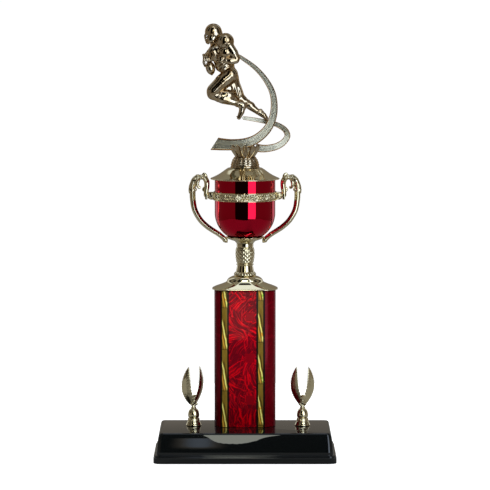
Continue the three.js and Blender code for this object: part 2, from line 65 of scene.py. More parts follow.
AXIS = sum(span("tie_rod")) / 2 * [1, 1, 0]  # the upright line that the whole stack is threaded on
BORE = 3.4  # radius of the hole for the rod


def at_axis(points):
    """Points given from the stack's axis, in the model's frame."""
    return np.array(points, float) + AXIS


# ------------------------------------------------------------------ camera, floor and studio

CAMERA_AT = (0.0, -3.5, 0.616)
CAMERA_DIP = 5.57  # degrees below level
LENS, SENSOR = 200.75, 36.0


def make_camera():
    data = bpy.data.cameras.new("camera")
    data.lens, data.sensor_width = LENS, SENSOR
    data.clip_start, data.clip_end = 0.1, 50
    camera = bpy.data.objects.new("camera", data)
    camera.location = CAMERA_AT
    camera.rotation_euler = (math.radians(90 - CAMERA_DIP), 0, 0)
    bpy.context.scene.collection.objects.link(camera)
    bpy.context.scene.camera = camera


class Graph:
    """Short forms of the shader nodes that the materials and the studio share."""

    def __init__(self, owner):
        self.owner = owner
        owner.use_nodes = True
        self.tree = owner.node_tree
        self.tree.nodes.clear()

    def add(self, kind, inputs=None, **settings):
        node = self.tree.nodes.new(kind)
        for name, value in settings.items():
            setattr(node, name, value)
        for key, value in (inputs or {}).items():
            self.feed(node.inputs[key], value)
        return node

    def feed(self, socket, value):
        if isinstance(value, bpy.types.NodeSocket):
            self.tree.links.new(value, socket)
        else:
            socket.default_value = value

    def math(self, operation, a, b=0.0, c=0.0):
        node = self.add("ShaderNodeMath", {0: a, 1: b, 2: c}, operation=operation)
        return node.outputs[0]

    def total(self, *values):
        result = values[0]
        for value in values[1:]:
            result = self.math("ADD", result, value)
        return result

    def product(self, *values):
        result = values[0]
        for value in values[1:]:
            result = self.math("MULTIPLY", result, value)
        return result

    def ramp(self, value, low, high, start=0.0, end=1.0):
        """Goes smoothly from start at low to end at high."""
        inputs = {0: value, 1: low, 2: high, 3: start, 4: end}
        return self.add("ShaderNodeMapRange", inputs, interpolation_type="SMOOTHSTEP").outputs[0]

    def window(self, value, low, high, soft):
        """One between low and high, nothing outside, with edges softened over soft."""
        rise = self.ramp(value, low - soft, low + soft)
        fall = self.ramp(value, high - soft, high + soft, 1.0, 0.0)
        return self.product(rise, fall)

    def blend(self, factor, a, b):
        node = self.add("ShaderNodeMix", {0: factor, 2: a, 3: b}, data_type="FLOAT")
        return node.outputs[0]

    def colour(self, factor, a, b):
        node = self.add("ShaderNodeMix", {0: factor, 6: a, 7: b}, data_type="RGBA")
        return node.outputs[2]

    def noise(self, vector, scale, detail=2.0, rough=0.5):
        inputs = {"Vector": vector, "Scale": scale, "Detail": detail, "Roughness": rough}
        return self.add("ShaderNodeTexNoise", inputs).outputs[0]

    def place(self):
        """Position on the piece, in millimetres."""
        at = self.add("ShaderNodeTexCoord").outputs["Object"]
        return self.stretched(at, (MM, MM, MM))

    def stretched(self, vector, by):
        return self.add("ShaderNodeVectorMath", {0: vector, 1: by}, operation="MULTIPLY").outputs[0]

    def split(self, vector):
        return self.add("ShaderNodeSeparateXYZ", {0: vector}).outputs

    def joined(self, x, y, z):
        return self.add("ShaderNodeCombineXYZ", {0: x, 1: y, 2: z}).outputs[0]

    def bump(self, height, distance, strength):
        """Relief that stands a distance in millimetres proud where height is one."""
        inputs = {"Height": height, "Distance": distance / MM, "Strength": strength}
        return self.add("ShaderNodeBump", inputs).outputs[0]

    def by_view(self, mirrored, seen):
        """One shader where the camera looks straight at it, and another for all other light."""
        straight = self.add("ShaderNodeLightPath").outputs["Is Camera Ray"]
        return self.add("ShaderNodeMixShader", {0: straight, 1: mirrored, 2: seen}).outputs[0]


def new_material(name):
    """The graph of a new material, and the position on the piece that it's used on."""
    g = Graph(bpy.data.materials.new(name))
    return g, g.place()


def rgb(red, green, blue):
    return (red, green, blue, 1.0)


WHITE = rgb(1.0, 1.0, 1.0)

# The studio as seen from the object: bearings in degrees from the front towards +X, and elevations.
# A panel is its lowest and highest bearing, lowest and highest elevation, edge softness and brightness.
STUDIO_GREY = 0.185
GREY_LOW, GREY_HIGH = 0.85, 1.25  # the grey's share near the floor and high up
GREY_TURNS = -40.0, 50.0  # elevations between which it goes from one to the other
PANELS = (
    (-82, -52, 8, 50, 3.0, 0.02),  # dark gaps at the sides
    (54, 80, 10, 50, 3.0, 0.02),
    (-120, -98, 8, 60, 4.0, 0.04),
    (100, 122, 8, 60, 4.0, 0.04),
    (-38, 12, -33, 72, 0.8, 0.006),  # dark opening in front, with a glow inside
    (-3.9, -1.9, 2.0, 12, 1.0, 1.1),
    (14, 27, 30, 62, 2.0, 1.7),  # strip light beside the opening, and the softer one over it
    (12.3, 41, -20.5, 33, 0.7, 2.5),
    (-30, 30, 58, 80, 2.5, 1.1),  # overhead
    (-150, -128, -20, 50, 2.0, 0.75),  # edge lights behind
    (128, 150, -20, 50, 2.0, 0.75))
ROOF_PANELS = (  # over the back, the bearing counted from straight behind: a dark flag and a light in it
    (-20, 12.0, 34, 52, 1.0, 0.01),
    (-20, 7.0, 36, 51, 0.6, 1.3))
WALL_LOW, WALL_HIGH = rgb(1.0, 0.89, 0.74), rgb(1.0, 0.98, 0.90)
WALL_TURNS = 22.0, 48.0  # elevations between which the walls go from the first colour to the second
PANEL_TINT, WINDOW_TINT = rgb(0.85, 0.98, 1.18), rgb(1.0, 1.04, 0.90)
BACKDROP = 1.02  # brightness of the white that the camera sees

WINDOW_SILL, WINDOW_TOP, WINDOW_LEVEL = 4.0, 34.0, 4.4
WINDOW_MIDDLE, WINDOW_LEFT, WINDOW_RIGHT = -0.6, 2.4, 3.1  # bearing of the lowest point, and reach each way
WINDOW_CURVE = 30.0  # how far up the lower edge is at that reach
WINDOW_TORN = 3.0  # how far that edge wanders up and down


def front_window(g, around, height):
    """Bright gap over the camera, torn along its lower edge, which hangs lowest near the middle."""
    def away(reach, power):
        run = g.math("DIVIDE", g.math("SUBTRACT", around, WINDOW_MIDDLE), reach)
        return g.math("POWER", g.math("MAXIMUM", run, 0.0), power)

    ragged = g.noise(g.joined(g.math("MULTIPLY", around, 3.2), 0.0, 0.0), 1.0, 5.0, 0.65)
    curve = g.product(g.total(away(-WINDOW_LEFT, 3.6), away(WINDOW_RIGHT, 2.2)), WINDOW_CURVE)
    low_edge = g.math("ADD", curve, WINDOW_SILL - WINDOW_TORN / 2)
    sill = g.math("MULTIPLY_ADD", ragged, WINDOW_TORN, low_edge)
    over = g.ramp(g.math("SUBTRACT", height, sill), -0.2, 0.3)
    under = g.ramp(height, WINDOW_TOP, WINDOW_TOP + 4, 1.0, 0.0)
    return g.product(over, under, g.window(around, -4.0, 4.0, 0.3))


def panel(g, light, bearing, height, spec):
    """The light with one panel laid over it."""
    left, right, low, high, soft, level = spec
    mask = g.product(g.window(bearing, left, right, soft), g.window(height, low, high, soft))
    return g.blend(mask, light, level)


def make_studio():
    world = bpy.data.worlds.new("studio")
    bpy.context.scene.world = world
    g = Graph(world)
    x, y, z = g.split(g.add("ShaderNodeTexCoord").outputs["Generated"])
    around = g.math("DEGREES", g.math("ARCTAN2", x, g.math("MULTIPLY", y, -1.0)))
    height = g.math("DEGREES", g.math("ARCSINE", z))
    behind = g.math("SUBTRACT", 180.0, g.math("ABSOLUTE", around))
    light = g.ramp(height, *GREY_TURNS, STUDIO_GREY * GREY_LOW, STUDIO_GREY * GREY_HIGH)
    for spec in PANELS:
        light = panel(g, light, around, height, spec)
    window = front_window(g, around, height)
    light = g.blend(window, light, WINDOW_LEVEL)
    for spec in ROOF_PANELS:
        light = panel(g, light, behind, height, spec)
    walls = g.colour(g.ramp(height, *WALL_TURNS), WALL_LOW, WALL_HIGH)
    tint = g.colour(g.ramp(light, 0.3, 1.0), walls, PANEL_TINT)
    tint = g.colour(window, tint, WINDOW_TINT)
    studio = g.add("ShaderNodeBackground", {0: tint, 1: light})
    white = g.add("ShaderNodeBackground", {0: WHITE, 1: BACKDROP})
    g.add("ShaderNodeOutputWorld", {0: g.by_view(studio.outputs[0], white.outputs[0])})


LAMPS = {"key": (1.6, 24), "back_fill": (1.3, 200)}  # strength, and bearing that each shines from
LAMP_TILT, LAMP_SPREAD = 52, 25  # degrees off straight down, and apparent width


def make_lamps():
    """Broad lamps, before and behind, for what scatters light. Polished plate doesn't mirror them."""
    for name, (energy, bearing) in LAMPS.items():
        data = bpy.data.lights.new(name, "SUN")
        data.energy, data.angle = energy, math.radians(LAMP_SPREAD)
        lamp = bpy.data.objects.new(name, data)
        lamp.rotation_euler = (math.radians(LAMP_TILT), 0, math.radians(bearing))
        lamp.visible_glossy = False
        bpy.context.scene.collection.objects.link(lamp)


FLOOR_WIDTH, FLOOR_DEPTH, FLOOR_CORNER = 1600.0, 1280.0, 300.0
PAPER_SEEN = rgb(0.78, 0.78, 0.77), rgb(0.84, 0.84, 0.83)
PAPER_MIRRORED = rgb(0.27, 0.27, 0.26), rgb(0.32, 0.32, 0.31)
PAPER_GLOW = 0.74


def make_floor():
    """Pale paper. What the plate mirrors of it is dim, as paper lies in the shade of the panels."""
    rim = rounded_ring(FLOOR_WIDTH, FLOOR_DEPTH, FLOOR_CORNER, 0, 24)
    count = len(rim)
    fan = [(i, (i + 1) % count, count) for i in range(count)]
    floor = piece_from("floor", np.vstack([rim, [[0, 0, 0]]]), fan)
    g, at = new_material("pale_paper")
    grain = g.noise(at, 0.9, 3.0)
    shaded = g.add("ShaderNodeBsdfDiffuse", {0: g.colour(grain, *PAPER_MIRRORED)})
    matt = g.add("ShaderNodeBsdfDiffuse", {0: g.colour(grain, *PAPER_SEEN)})
    glow = g.add("ShaderNodeEmission", {0: WHITE, 1: PAPER_GLOW})
    lit = g.add("ShaderNodeAddShader", {0: matt.outputs[0], 1: glow.outputs[0]})
    g.add("ShaderNodeOutputMaterial", {0: g.by_view(shaded.outputs[0], lit.outputs[0])})
    floor.data.materials.append(g.owner)


# ------------------------------------------------------------------ meshes

def piece_from(name, points, faces, sharp=40.0):
    """A mesh object from points in millimetres, shaded smooth except over corners sharper than sharp."""
    mesh = bpy.data.meshes.new(name)
    mesh.from_pydata((np.asarray(points, float) / MM).tolist(), [], [tuple(f) for f in faces])
    mesh.validate()
    mesh.shade_smooth()
    mesh.set_sharp_from_angle(angle=math.radians(sharp))
    piece = bpy.data.objects.new(name, mesh)
    bpy.context.scene.collection.objects.link(piece)
    return piece


def finish_piece(piece, body, material, node):
    """Gives a piece its look, the body that carries it and the CAD node that it's shown for."""
    piece.data.materials.append(material)
    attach(piece, body)
    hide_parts(node)


def spline(points, per_span):
    """Smooth curve through points, with per_span steps between each two."""
    p = np.array(points, float)
    p = np.vstack([2 * p[0] - p[1], p, 2 * p[-1] - p[-2]])
    t = np.arange(per_span)[:, None] / per_span
    spans = []
    for a, b, c, d in zip(p, p[1:], p[2:], p[3:]):
        spans.append(0.5 * (2 * b + (c - a) * t + (2 * a - 5 * b + 4 * c - d) * t**2
                            + (3 * b - 3 * c + d - a) * t**3))
    return np.vstack(spans + [p[-2:-1]])


def evened(points, step):
    """The same line with a point about every step along it, keeping its corners."""
    p = np.array(points, float)
    out = []
    for a, b in zip(p, p[1:]):
        count = max(1, int(np.ceil(np.linalg.norm(b - a) / step)))
        out.append(a + (b - a) * np.arange(count)[:, None] / count)
    return np.vstack(out + [p[-1:]])


def lattice(rows, columns, wrap_rows=False):
    """Faces of a grid of points whose columns close on themselves."""
    r = np.arange(rows if wrap_rows else rows - 1)[:, None]
    c = np.arange(columns)[None, :]
    below, above = r * columns, ((r + 1) % rows) * columns
    ahead = (c + 1) % columns
    return np.stack([below + c, below + ahead, above + ahead, above + c], -1).reshape(-1, 4)


def raised(outline, foot, per_span):
    """Smooth outline of radius and height, from points whose heights are over a foot."""
    return spline([(radius, foot + up) for radius, up in outline], per_span)


def revolved(name, profile, sides, relief=None, centre=AXIS):
    """Body turned about an upright line, from a profile of radius and height that closes on itself.
    relief(angle, radius, height) gives the change in radius and in height."""
    profile = np.array(profile, float)
    angle = np.arange(sides)[None, :] * 2 * math.pi / sides
    radius = np.repeat(profile[:, :1], sides, 1)
    height = np.repeat(profile[:, 1:], sides, 1)
    angle = np.repeat(angle, len(profile), 0)
    if relief is not None:
        out, up = relief(angle, radius, height)
        radius, height = radius + out, height + up
    x = centre[0] + radius * np.sin(angle)
    y = centre[1] - radius * np.cos(angle)
    points = np.stack([x, y, height], -1).reshape(-1, 3)
    return outward(piece_from(name, points, lattice(len(profile), sides, wrap_rows=True)))


def rounded_ring(width, depth, corner, height, steps):
    """Rounded rectangle about the origin at a height, with steps points to a corner."""
    corner = min(corner, width / 2 - 0.01, depth / 2 - 0.01)
    turn = np.linspace(0, math.pi / 2, steps)
    parts = []
    for quarter, sx, sy in ((0, 1, 1), (1, -1, 1), (2, -1, -1), (3, 1, -1)):
        angle = turn + quarter * math.pi / 2
        x = sx * (width / 2 - corner) + corner * np.cos(angle)
        y = sy * (depth / 2 - corner) + corner * np.sin(angle)
        parts.append(np.stack([x, y, np.full(steps, height)], 1))
    return np.vstack(parts)


def lofted(name, rings, closed=False, sharp=40.0):
    """Body skinned over rings of the same number of points; the ends are capped unless it is closed."""
    rings = np.array(rings, float)
    rows, columns = rings.shape[:2]
    faces = [tuple(f) for f in lattice(rows, columns, wrap_rows=closed)]
    if not closed:
        faces.append(tuple(range(columns))[::-1])
        faces.append(tuple((rows - 1) * columns + i for i in range(columns)))
    return outward(piece_from(name, rings.reshape(-1, 3), faces, sharp))


def outward(piece):
    """Turns the faces so that they point out."""
    bm = bmesh.new()
    bm.from_mesh(piece.data)
    bmesh.ops.recalc_face_normals(bm, faces=bm.faces)
    bm.to_mesh(piece.data)
    bm.free()
    return piece


# ------------------------------------------------------------------ clay: sculpted bodies

class Clay:
    """A block of distances in millimetres, below zero inside the body, that strokes add to or cut."""

    def __init__(self, low, high, cell):
        self.cell = cell
        self.axes = [np.arange(a, b, cell) for a, b in zip(low, high)]
        self.field = np.full([len(a) for a in self.axes], 40.0, np.float32)
        self.pose(np.zeros(3))

    def pose(self, centre, forward=(1, 0, 0), up=(0, 0, 1)):
        """Sets where the next strokes' own axes are: x forward, z nearly up."""
        ahead = np.array(forward, float) / np.linalg.norm(forward)
        side = np.cross(up, ahead)
        side /= np.linalg.norm(side)
        self.turn = np.stack([ahead, side, np.cross(ahead, side)], 1)
        self.centre = np.array(centre, float)

    def around(self, points, reach):
        """The part of the block within reach of the points, and positions there in the pose's axes."""
        world = np.array(points, float) @ self.turn.T + self.centre
        cut = []
        for axis, low, high in zip(self.axes, world.min(0) - reach, world.max(0) + reach):
            cut.append(slice(max(0, np.searchsorted(axis, low) - 1), np.searchsorted(axis, high) + 1))
        here = np.stack(np.meshgrid(*[a[c] for a, c in zip(self.axes, cut)], indexing="ij"), -1)
        return tuple(cut), ((here - self.centre) @ self.turn).astype(np.float32)

    def merge(self, where, distance, soft, cut):
        """Adds a shape to a part of the block, or cuts it away, with a fillet about soft wide."""
        old = -self.field[where] if cut else self.field[where]
        if soft > 0:
            share = np.clip(0.5 + 0.5 * (distance - old) / soft, 0, 1)
            new = distance + (old - distance) * share - soft * share * (1 - share)
        else:
            new = np.minimum(old, distance)
        self.field[where] = -new if cut else new

    def line(self, points, radii, soft=1.0, cut=False, flat=(1, 1, 1)):
        """A round stroke along points. flat squeezes its section along the pose's axes."""
        points = np.array(points, float)
        radii = np.broadcast_to(np.array(radii, float), len(points))
        where, p = self.around(points, radii.max() * 1.2 + soft + 2 * self.cell)
        squeeze = np.array(flat, np.float32)
        best = np.full(p.shape[:-1], 1e3, np.float32)
        for a, b, ra, rb in zip(points, points[1:], radii, radii[1:]):
            along = b - a
            t = np.clip(((p - a) @ along) / max(along @ along, 1e-9), 0, 1)
            off = (p - a - t[..., None] * along) / squeeze
            reach = ra + (rb - ra) * t
            best = np.minimum(best, (np.sqrt((off**2).sum(-1)) - reach) * squeeze.min())
        self.merge(where, best, soft, cut)

    def egg(self, centre, radii, soft=1.0, cut=False):
        """An egg with three half-lengths along the pose's axes."""
        radii = np.array(radii, float)
        where, p = self.around([centre], radii.max() + soft + 2 * self.cell)
        q = (p - np.array(centre)) / radii
        near = np.sqrt((q**2).sum(-1))
        slope = np.sqrt(((q / radii) ** 2).sum(-1))
        self.merge(where, near * (near - 1) / np.maximum(slope, 1e-4), soft, cut)

    def ring(self, centre, axis, radius, thick, soft=0.4, cut=False):
        """A round cord that lies in a circle about an axis."""
        axis = np.array(axis, float) / np.linalg.norm(axis)
        where, p = self.around([centre], radius + thick + soft + 2 * self.cell)
        q = p - np.array(centre)
        along = q @ axis
        out = np.sqrt(np.maximum((q**2).sum(-1) - along**2, 0))
        self.merge(where, np.sqrt((out - radius) ** 2 + along**2) - thick, soft, cut)

    def slab(self, centre, half, corner, soft=0.5, cut=False):
        """A box from its half-lengths, rounded by a corner's radius."""
        half = np.array(half, float)
        where, p = self.around([centre], np.linalg.norm(half) + soft + 2 * self.cell)
        q = np.abs(p - np.array(centre)) - (half - corner)
        inside = np.minimum(q.max(-1), 0)
        self.merge(where, np.sqrt((np.maximum(q, 0) ** 2).sum(-1)) + inside - corner, soft, cut)

    def folds(self, centre, reach, across, width, height):
        """Cloth folds: ripples of a width across a direction, dying away from the centre."""
        where, p = self.around([centre], reach * 2)
        q = p - np.array(centre)
        across = np.array(across, float) / np.linalg.norm(across)
        fade = np.exp(-((q**2).sum(-1)) / reach**2)
        ripple = np.sin(2 * math.pi * (q @ across) / width + 0.9 * np.sin(q[..., 1] / width * 2.1))
        self.field[where] += height * fade * ripple

    def skin(self, name):
        """The body's surface, one point in each cell that it passes through, smooth all over."""
        f = self.field
        shape = np.array(f.shape) - 1
        corners = [(i, j, k) for i in (0, 1) for j in (0, 1) for k in (0, 1)]
        view = {c: f[c[0]:c[0] + shape[0], c[1]:c[1] + shape[1], c[2]:c[2] + shape[2]] for c in corners}
        count = sum((v < 0).astype(np.int8) for v in view.values())
        cells = np.argwhere((count > 0) & (count < 8))
        number = np.full(shape, -1, np.int64)
        number[tuple(cells.T)] = np.arange(len(cells))
        total, hits = np.zeros((len(cells), 3)), np.zeros(len(cells))
        for a in corners:
            for axis in range(3):
                if a[axis]:
                    continue
                b = tuple(1 if n == axis else v for n, v in enumerate(a))
                fa, fb = view[a][tuple(cells.T)], view[b][tuple(cells.T)]
                crossing = (fa < 0) != (fb < 0)
                t = np.where(crossing, fa / np.where(crossing, fa - fb, 1), 0)
                spot = np.array(a, float)[None] + t[:, None] * np.eye(3)[axis]
                total += np.where(crossing[:, None], spot, 0)
                hits += crossing
        origin = np.array([a[0] for a in self.axes])
        points = origin + (cells + total / hits[:, None]) * self.cell
        faces = []
        for axis in range(3):
            u, v = (axis + 1) % 3, (axis + 2) % 3
            low = [slice(1, n) for n in shape]
            low[axis] = slice(0, shape[axis])
            high = list(low)
            high[axis] = slice(1, shape[axis] + 1)
            inside_low, inside_high = f[tuple(low)] < 0, f[tuple(high)] < 0
            for starts_in in (True, False):
                edge = np.argwhere((inside_low != inside_high) & (inside_low == starts_in))
                edge += [0 if n == axis else 1 for n in range(3)]
                quad = []
                for du, dv in ((0, 0), (-1, 0), (-1, -1), (0, -1)):
                    cell = edge.copy()
                    cell[:, u] += du
                    cell[:, v] += dv
                    quad.append(number[tuple(cell.T)])
                quad = np.stack(quad if starts_in else quad[::-1], 1)
                faces.append(quad)
        return piece_from(name, points, np.vstack(faces), sharp=180)


# ------------------------------------------------------------------ materials

def surface(g, inputs, normal):
    """Ends a material's graph, and gives the material."""
    shader = g.add("ShaderNodeBsdfPrincipled", {**inputs, "Normal": normal})
    g.add("ShaderNodeOutputMaterial", {0: shader.outputs[0]})
    return g.owner


def metal(g, tone, rough, normal, edge=WHITE):
    """Bare metal. Seen at a grazing angle, its colour goes by way of edge."""
    inputs = {"Base Color": tone, "Metallic": 1.0, "Roughness": rough, "Specular Tint": edge}
    return surface(g, inputs, normal)


def shade_hollows(g, tone, hollow, low, high):
    """The tone, going to a painted shade in the hollows between two measures of how far a place stands out.
    """
    stands_out = g.add("ShaderNodeNewGeometry").outputs["Pointiness"]
    return g.colour(g.ramp(stands_out, low, high), hollow, tone)


def gold_plate():
    """Vacuum plate over moulded plastic: pale gold, with painted brown shade in its hollows, faintly rippled.
    """
    g, at = new_material("gold_plate")
    fine = g.noise(at, 0.55, 4.0, 0.6)
    tone = g.colour(g.noise(at, 0.06, 3.0), rgb(0.82, 0.70, 0.43), rgb(0.89, 0.79, 0.53))
    # painted shade: the hollows go brown by how little they stand out
    tone = shade_hollows(g, tone, rgb(0.34, 0.23, 0.09), 0.40, 0.50)
    rough = g.ramp(fine, 0.35, 0.75, 0.05, 0.13)
    return metal(g, tone, rough, g.bump(g.total(fine, g.noise(at, 0.09, 2.0)), 0.035, 0.6))


DARK_EDGE = rgb(0.40, 0.23, 0.10)


def dark_gold():
    """The figure's plate: older and deeper than the cup's, with painted brown shade in its hollows."""
    g, at = new_material("dark_gold")
    fine = g.noise(at, 0.8, 4.0, 0.6)
    cloud = g.ramp(g.noise(at, 0.12, 3.0), 0.3, 0.7)
    tone = g.colour(cloud, rgb(0.52, 0.37, 0.20), rgb(0.70, 0.60, 0.44))
    # painted shade: the hollows go brown by how little they stand out
    tone = shade_hollows(g, tone, rgb(0.30, 0.17, 0.06), 0.42, 0.50)
    rough = g.ramp(fine, 0.35, 0.75, 0.05, 0.14)
    normal = g.bump(g.total(g.product(fine, 0.4), g.noise(at, 0.16, 2.0)), 0.22, 0.5)
    return metal(g, tone, rough, normal, DARK_EDGE)


EDGE_REFLECTION_START, EDGE_REFLECTION_END = 0.72, 0.80  # share of a ribbon's half-width where the painted dark reflection along its rim starts


def satin_gold():
    """The ribbons' etched finish: a fine even grain under the same plate, and a painted dark reflection in
    brown along the rim.
    """
    g, at = new_material("satin_gold")
    grain = g.noise(at, 1.3, 3.0, 0.6)
    tone = g.colour(g.noise(at, 0.05, 3.0), rgb(0.41, 0.38, 0.28), rgb(0.52, 0.48, 0.36))
    pitted = g.colour(0.10, tone, rgb(0.16, 0.15, 0.10))
    tone = g.colour(g.ramp(grain, 0.3, 0.7), pitted, tone)
    # painted dark reflection: brown along both edges of the ribbon, by the place across it
    rim = g.add("ShaderNodeAttribute", attribute_name="rim").outputs["Fac"]
    tone = g.colour(g.ramp(rim, EDGE_REFLECTION_START, EDGE_REFLECTION_END), tone, rgb(0.46, 0.24, 0.09))
    return metal(g, tone, g.ramp(grain, 0.3, 0.7, 0.30, 0.38), g.bump(grain, 0.002, 0.5))


def red_plate():
    """Mirror-bright red plate with hairline marks from wiping."""
    g, at = new_material("red_plate")
    tone = g.colour(g.noise(at, 0.04, 2.0), rgb(0.58, 0.004, 0.022), rgb(0.68, 0.008, 0.034))
    hairs = g.noise(g.stretched(at, (1.0, 1.0, 0.06)), 3.0, 3.0, 0.7)
    rough = g.ramp(hairs, 0.55, 0.8, 0.025, 0.10)
    return metal(g, tone, rough, g.bump(g.noise(at, 0.05, 2.0), 0.02, 0.35))


def black_plastic():
    """Glossy moulded plastic with a shallow ripple, dust and fine rubs."""
    g, at = new_material("black_plastic")
    dust = g.ramp(g.noise(at, 0.8, 5.0, 0.75), 0.66, 0.74)
    rubs = g.noise(g.stretched(at, (0.05, 1.0, 1.0)), 1.6, 4.0, 0.7)
    tone = g.colour(dust, rgb(0.004, 0.005, 0.005), rgb(0.03, 0.032, 0.032))
    rough = g.total(g.ramp(rubs, 0.4, 0.8, 0.006, 0.03), g.product(dust, 0.2))
    normal = g.bump(g.noise(at, 0.035, 2.0), 0.05, 0.35)
    return surface(g, {"Base Color": tone, "Roughness": rough, "IOR": 1.52}, normal)


# The foil's print, across the front of the column from its middle: a red panel between gold stripes that
# are edged in black, in millimetres towards +X.
GOLD_STRIPES = ((-29.6, -22.9), (16.9, 23.4))
BLACK_EDGES = ((-31.8, -29.6), (-22.9, -20.7), (14.4, 16.9), (23.4, 25.8))
RED_PANEL = (-20.7, 14.4)
EDGE_SOFT = 0.12
PRINT_REPEAT = 54.0  # height of one repeat of the print
FLAME_START = 17.0  # how far below the foot of a repeat its flame starts
FLAME_REACH = 38.0
FLAME_LEAN = 0.18  # how far a flame in a gold stripe steps sideways for each millimetre down
FLAME_WAVER = 2.2
PLAIN_SQUARE = (1.2, 12.0, 15.0, 26.0)  # in each repeat: across, and up from the repeat's start
SQUARE_RIM, SQUARE_SOFT = 0.4, 0.15
STROKE_BEND = 0.010  # how far a stroke curves aside, by the square of its length
STROKE_TURNS = 2.6  # radians over which the patches' directions are spread


def feathers(g, flat, patch, thin, stroke_length, seed):
    """Curved strokes that run another way in each patch of the foil."""
    moved = g.add("ShaderNodeVectorMath", {0: flat, 1: (seed, 0.0, seed)}, operation="ADD").outputs[0]
    cells = g.add("ShaderNodeTexVoronoi", {"Vector": moved, "Scale": 1.0 / patch}).outputs
    direction, start = g.split(cells["Color"])[:2]
    inputs = {0: moved, 1: cells["Position"]}
    away = g.split(g.add("ShaderNodeVectorMath", inputs, operation="SUBTRACT").outputs[0])
    turn = g.math("MULTIPLY_ADD", direction, STROKE_TURNS, g.noise(moved, 0.05, 1.0))
    cosine, sine = g.math("COSINE", turn), g.math("SINE", turn)
    along = g.total(g.product(away[0], cosine), g.product(away[2], sine))
    over = g.math("SUBTRACT", g.product(away[2], cosine), g.product(away[0], sine))
    bent = g.math("MULTIPLY_ADD", g.product(along, along), STROKE_BEND, over)
    where = g.joined(g.math("DIVIDE", bent, thin), g.math("DIVIDE", along, stroke_length),
                     g.product(start, 40.0))
    return g.noise(where, 1.0, 2.0, 0.55)


def flames(g, across, z, centre, half):
    """Steep flames on the ground of a gold stripe, one to each repeat: the bright ones, the fainter ones
    beside them, and the dark shadows and knots."""
    up = g.math("MODULO", g.total(z, FLAME_START - centre * 0.2), PRINT_REPEAT)
    aside = g.math("SUBTRACT", across, centre + FLAME_LEAN * FLAME_REACH / 2)
    drift = g.math("MULTIPLY_ADD", up, FLAME_LEAN, aside)
    swing = g.math("SUBTRACT", g.noise(g.joined(across, centre, z), 0.12, 1.0), 0.5)
    line = g.math("MULTIPLY_ADD", swing, FLAME_WAVER, drift)
    inside = g.window(up, 2.0, FLAME_REACH, 3.0)
    bright = g.ramp(g.math("ABSOLUTE", line), half * 0.10, half * 0.36, 1.0, 0.0)
    faint = g.ramp(g.math("ABSOLUTE", g.total(drift, half)), half * 0.05, half * 0.35, 0.85, 0.0)
    shadow = g.product(g.window(line, half * 0.45, half, half * 0.2), inside, 0.7)
    knot = g.window(up, -1.0, 0.8, 1.0)
    return g.product(bright, inside), g.product(faint, inside), g.math("MAXIMUM", shadow, knot)


def gold_stripe(g, across, z, low, high):
    """The print of one gold stripe: flames of changing colour on an olive ground."""
    centre, half = (low + high) / 2, (high - low) / 2
    streaks = g.noise(g.joined(across, 3.0, g.product(z, 0.15)), 0.5, 2.0)
    tone = g.colour(streaks, rgb(0.14, 0.08, 0.008), rgb(0.31, 0.20, 0.028))
    bright, faint, dark = flames(g, across, z, centre, half)
    hue = g.noise(g.joined(0.0, centre, z), 0.12, 1.0)
    hot = g.colour(g.ramp(hue, 0.30, 0.42), rgb(1.0, 0.45, 0.04), rgb(1.0, 0.92, 0.22))
    hot = g.colour(g.ramp(hue, 0.64, 0.72), hot, rgb(0.38, 0.75, 0.06))
    tone = g.colour(dark, tone, rgb(0.03, 0.02, 0.004))
    tone = g.colour(faint, tone, rgb(0.85, 0.42, 0.05))
    return g.colour(bright, tone, hot)


def foil_wrap():
    """Printed foil: a feathered red panel between gold stripes, the same on the front and the back."""
    g, at = new_material("foil_wrap")
    x, y, z = g.split(at)
    behind = g.ramp(y, float(AXIS[1]) - 0.5, float(AXIS[1]) + 0.5)
    across = g.product(x, g.math("MULTIPLY_ADD", behind, -2.0, 1.0))

    def bands(edges):
        return g.total(*[g.window(across, low, high, EDGE_SOFT) for low, high in edges])

    def square(grown):
        left, right, low, high = PLAIN_SQUARE
        up = g.math("MODULO", z, PRINT_REPEAT)
        return g.product(g.window(across, left - grown, right + grown, SQUARE_SOFT),
                         g.window(up, low - grown, high + grown, SQUARE_SOFT))

    gold, black, red = bands(GOLD_STRIPES), bands(BLACK_EDGES), bands([RED_PANEL])
    flat = g.joined(across, 0.0, z)
    broad = g.ramp(feathers(g, flat, 24.0, 2.6, 34.0, 0.0), 0.48, 0.66)
    narrow = g.ramp(feathers(g, flat, 19.0, 1.1, 30.0, 70.0), 0.54, 0.66, 0.0, 0.9)
    plain = square(0.0)
    rim = g.math("SUBTRACT", square(SQUARE_RIM), plain)
    stroke = g.blend(plain, g.math("MAXIMUM", broad, narrow), 0.22)
    stroke = g.math("MAXIMUM", stroke, g.product(rim, 0.5))
    patch = g.noise(flat, 0.03, 2.0)
    deep = g.colour(patch, rgb(0.11, 0.0, 0.004), rgb(0.22, 0.0, 0.009))
    bright = g.colour(patch, rgb(1.0, 0.0, 0.004), rgb(0.62, 0.0, 0.012))
    side_red = g.colour(stroke, rgb(0.13, 0.0, 0.004), rgb(0.19, 0.0, 0.007))
    tone = g.colour(red, side_red, g.colour(stroke, deep, bright))
    for low, high in GOLD_STRIPES:
        tone = g.colour(g.window(across, low, high, EDGE_SOFT), tone, gold_stripe(g, across, z, low, high))
    tone = g.colour(black, tone, rgb(0.004, 0.004, 0.004))
    glitter = g.product(g.math("SUBTRACT", 1.0, g.math("MAXIMUM", black, gold)), 0.3)
    rough = g.blend(red, 0.30, g.ramp(stroke, 0.0, 1.0, 0.42, 0.28))
    relief = g.product(stroke, g.blend(red, 0.1, 1.0))
    inputs = {"Base Color": tone, "Metallic": glitter, "Roughness": rough, "Specular IOR Level": 0.08,
              "Coat Weight": 0.06, "Coat Roughness": 0.05}
    return surface(g, inputs, g.bump(relief, 0.25, 0.5))


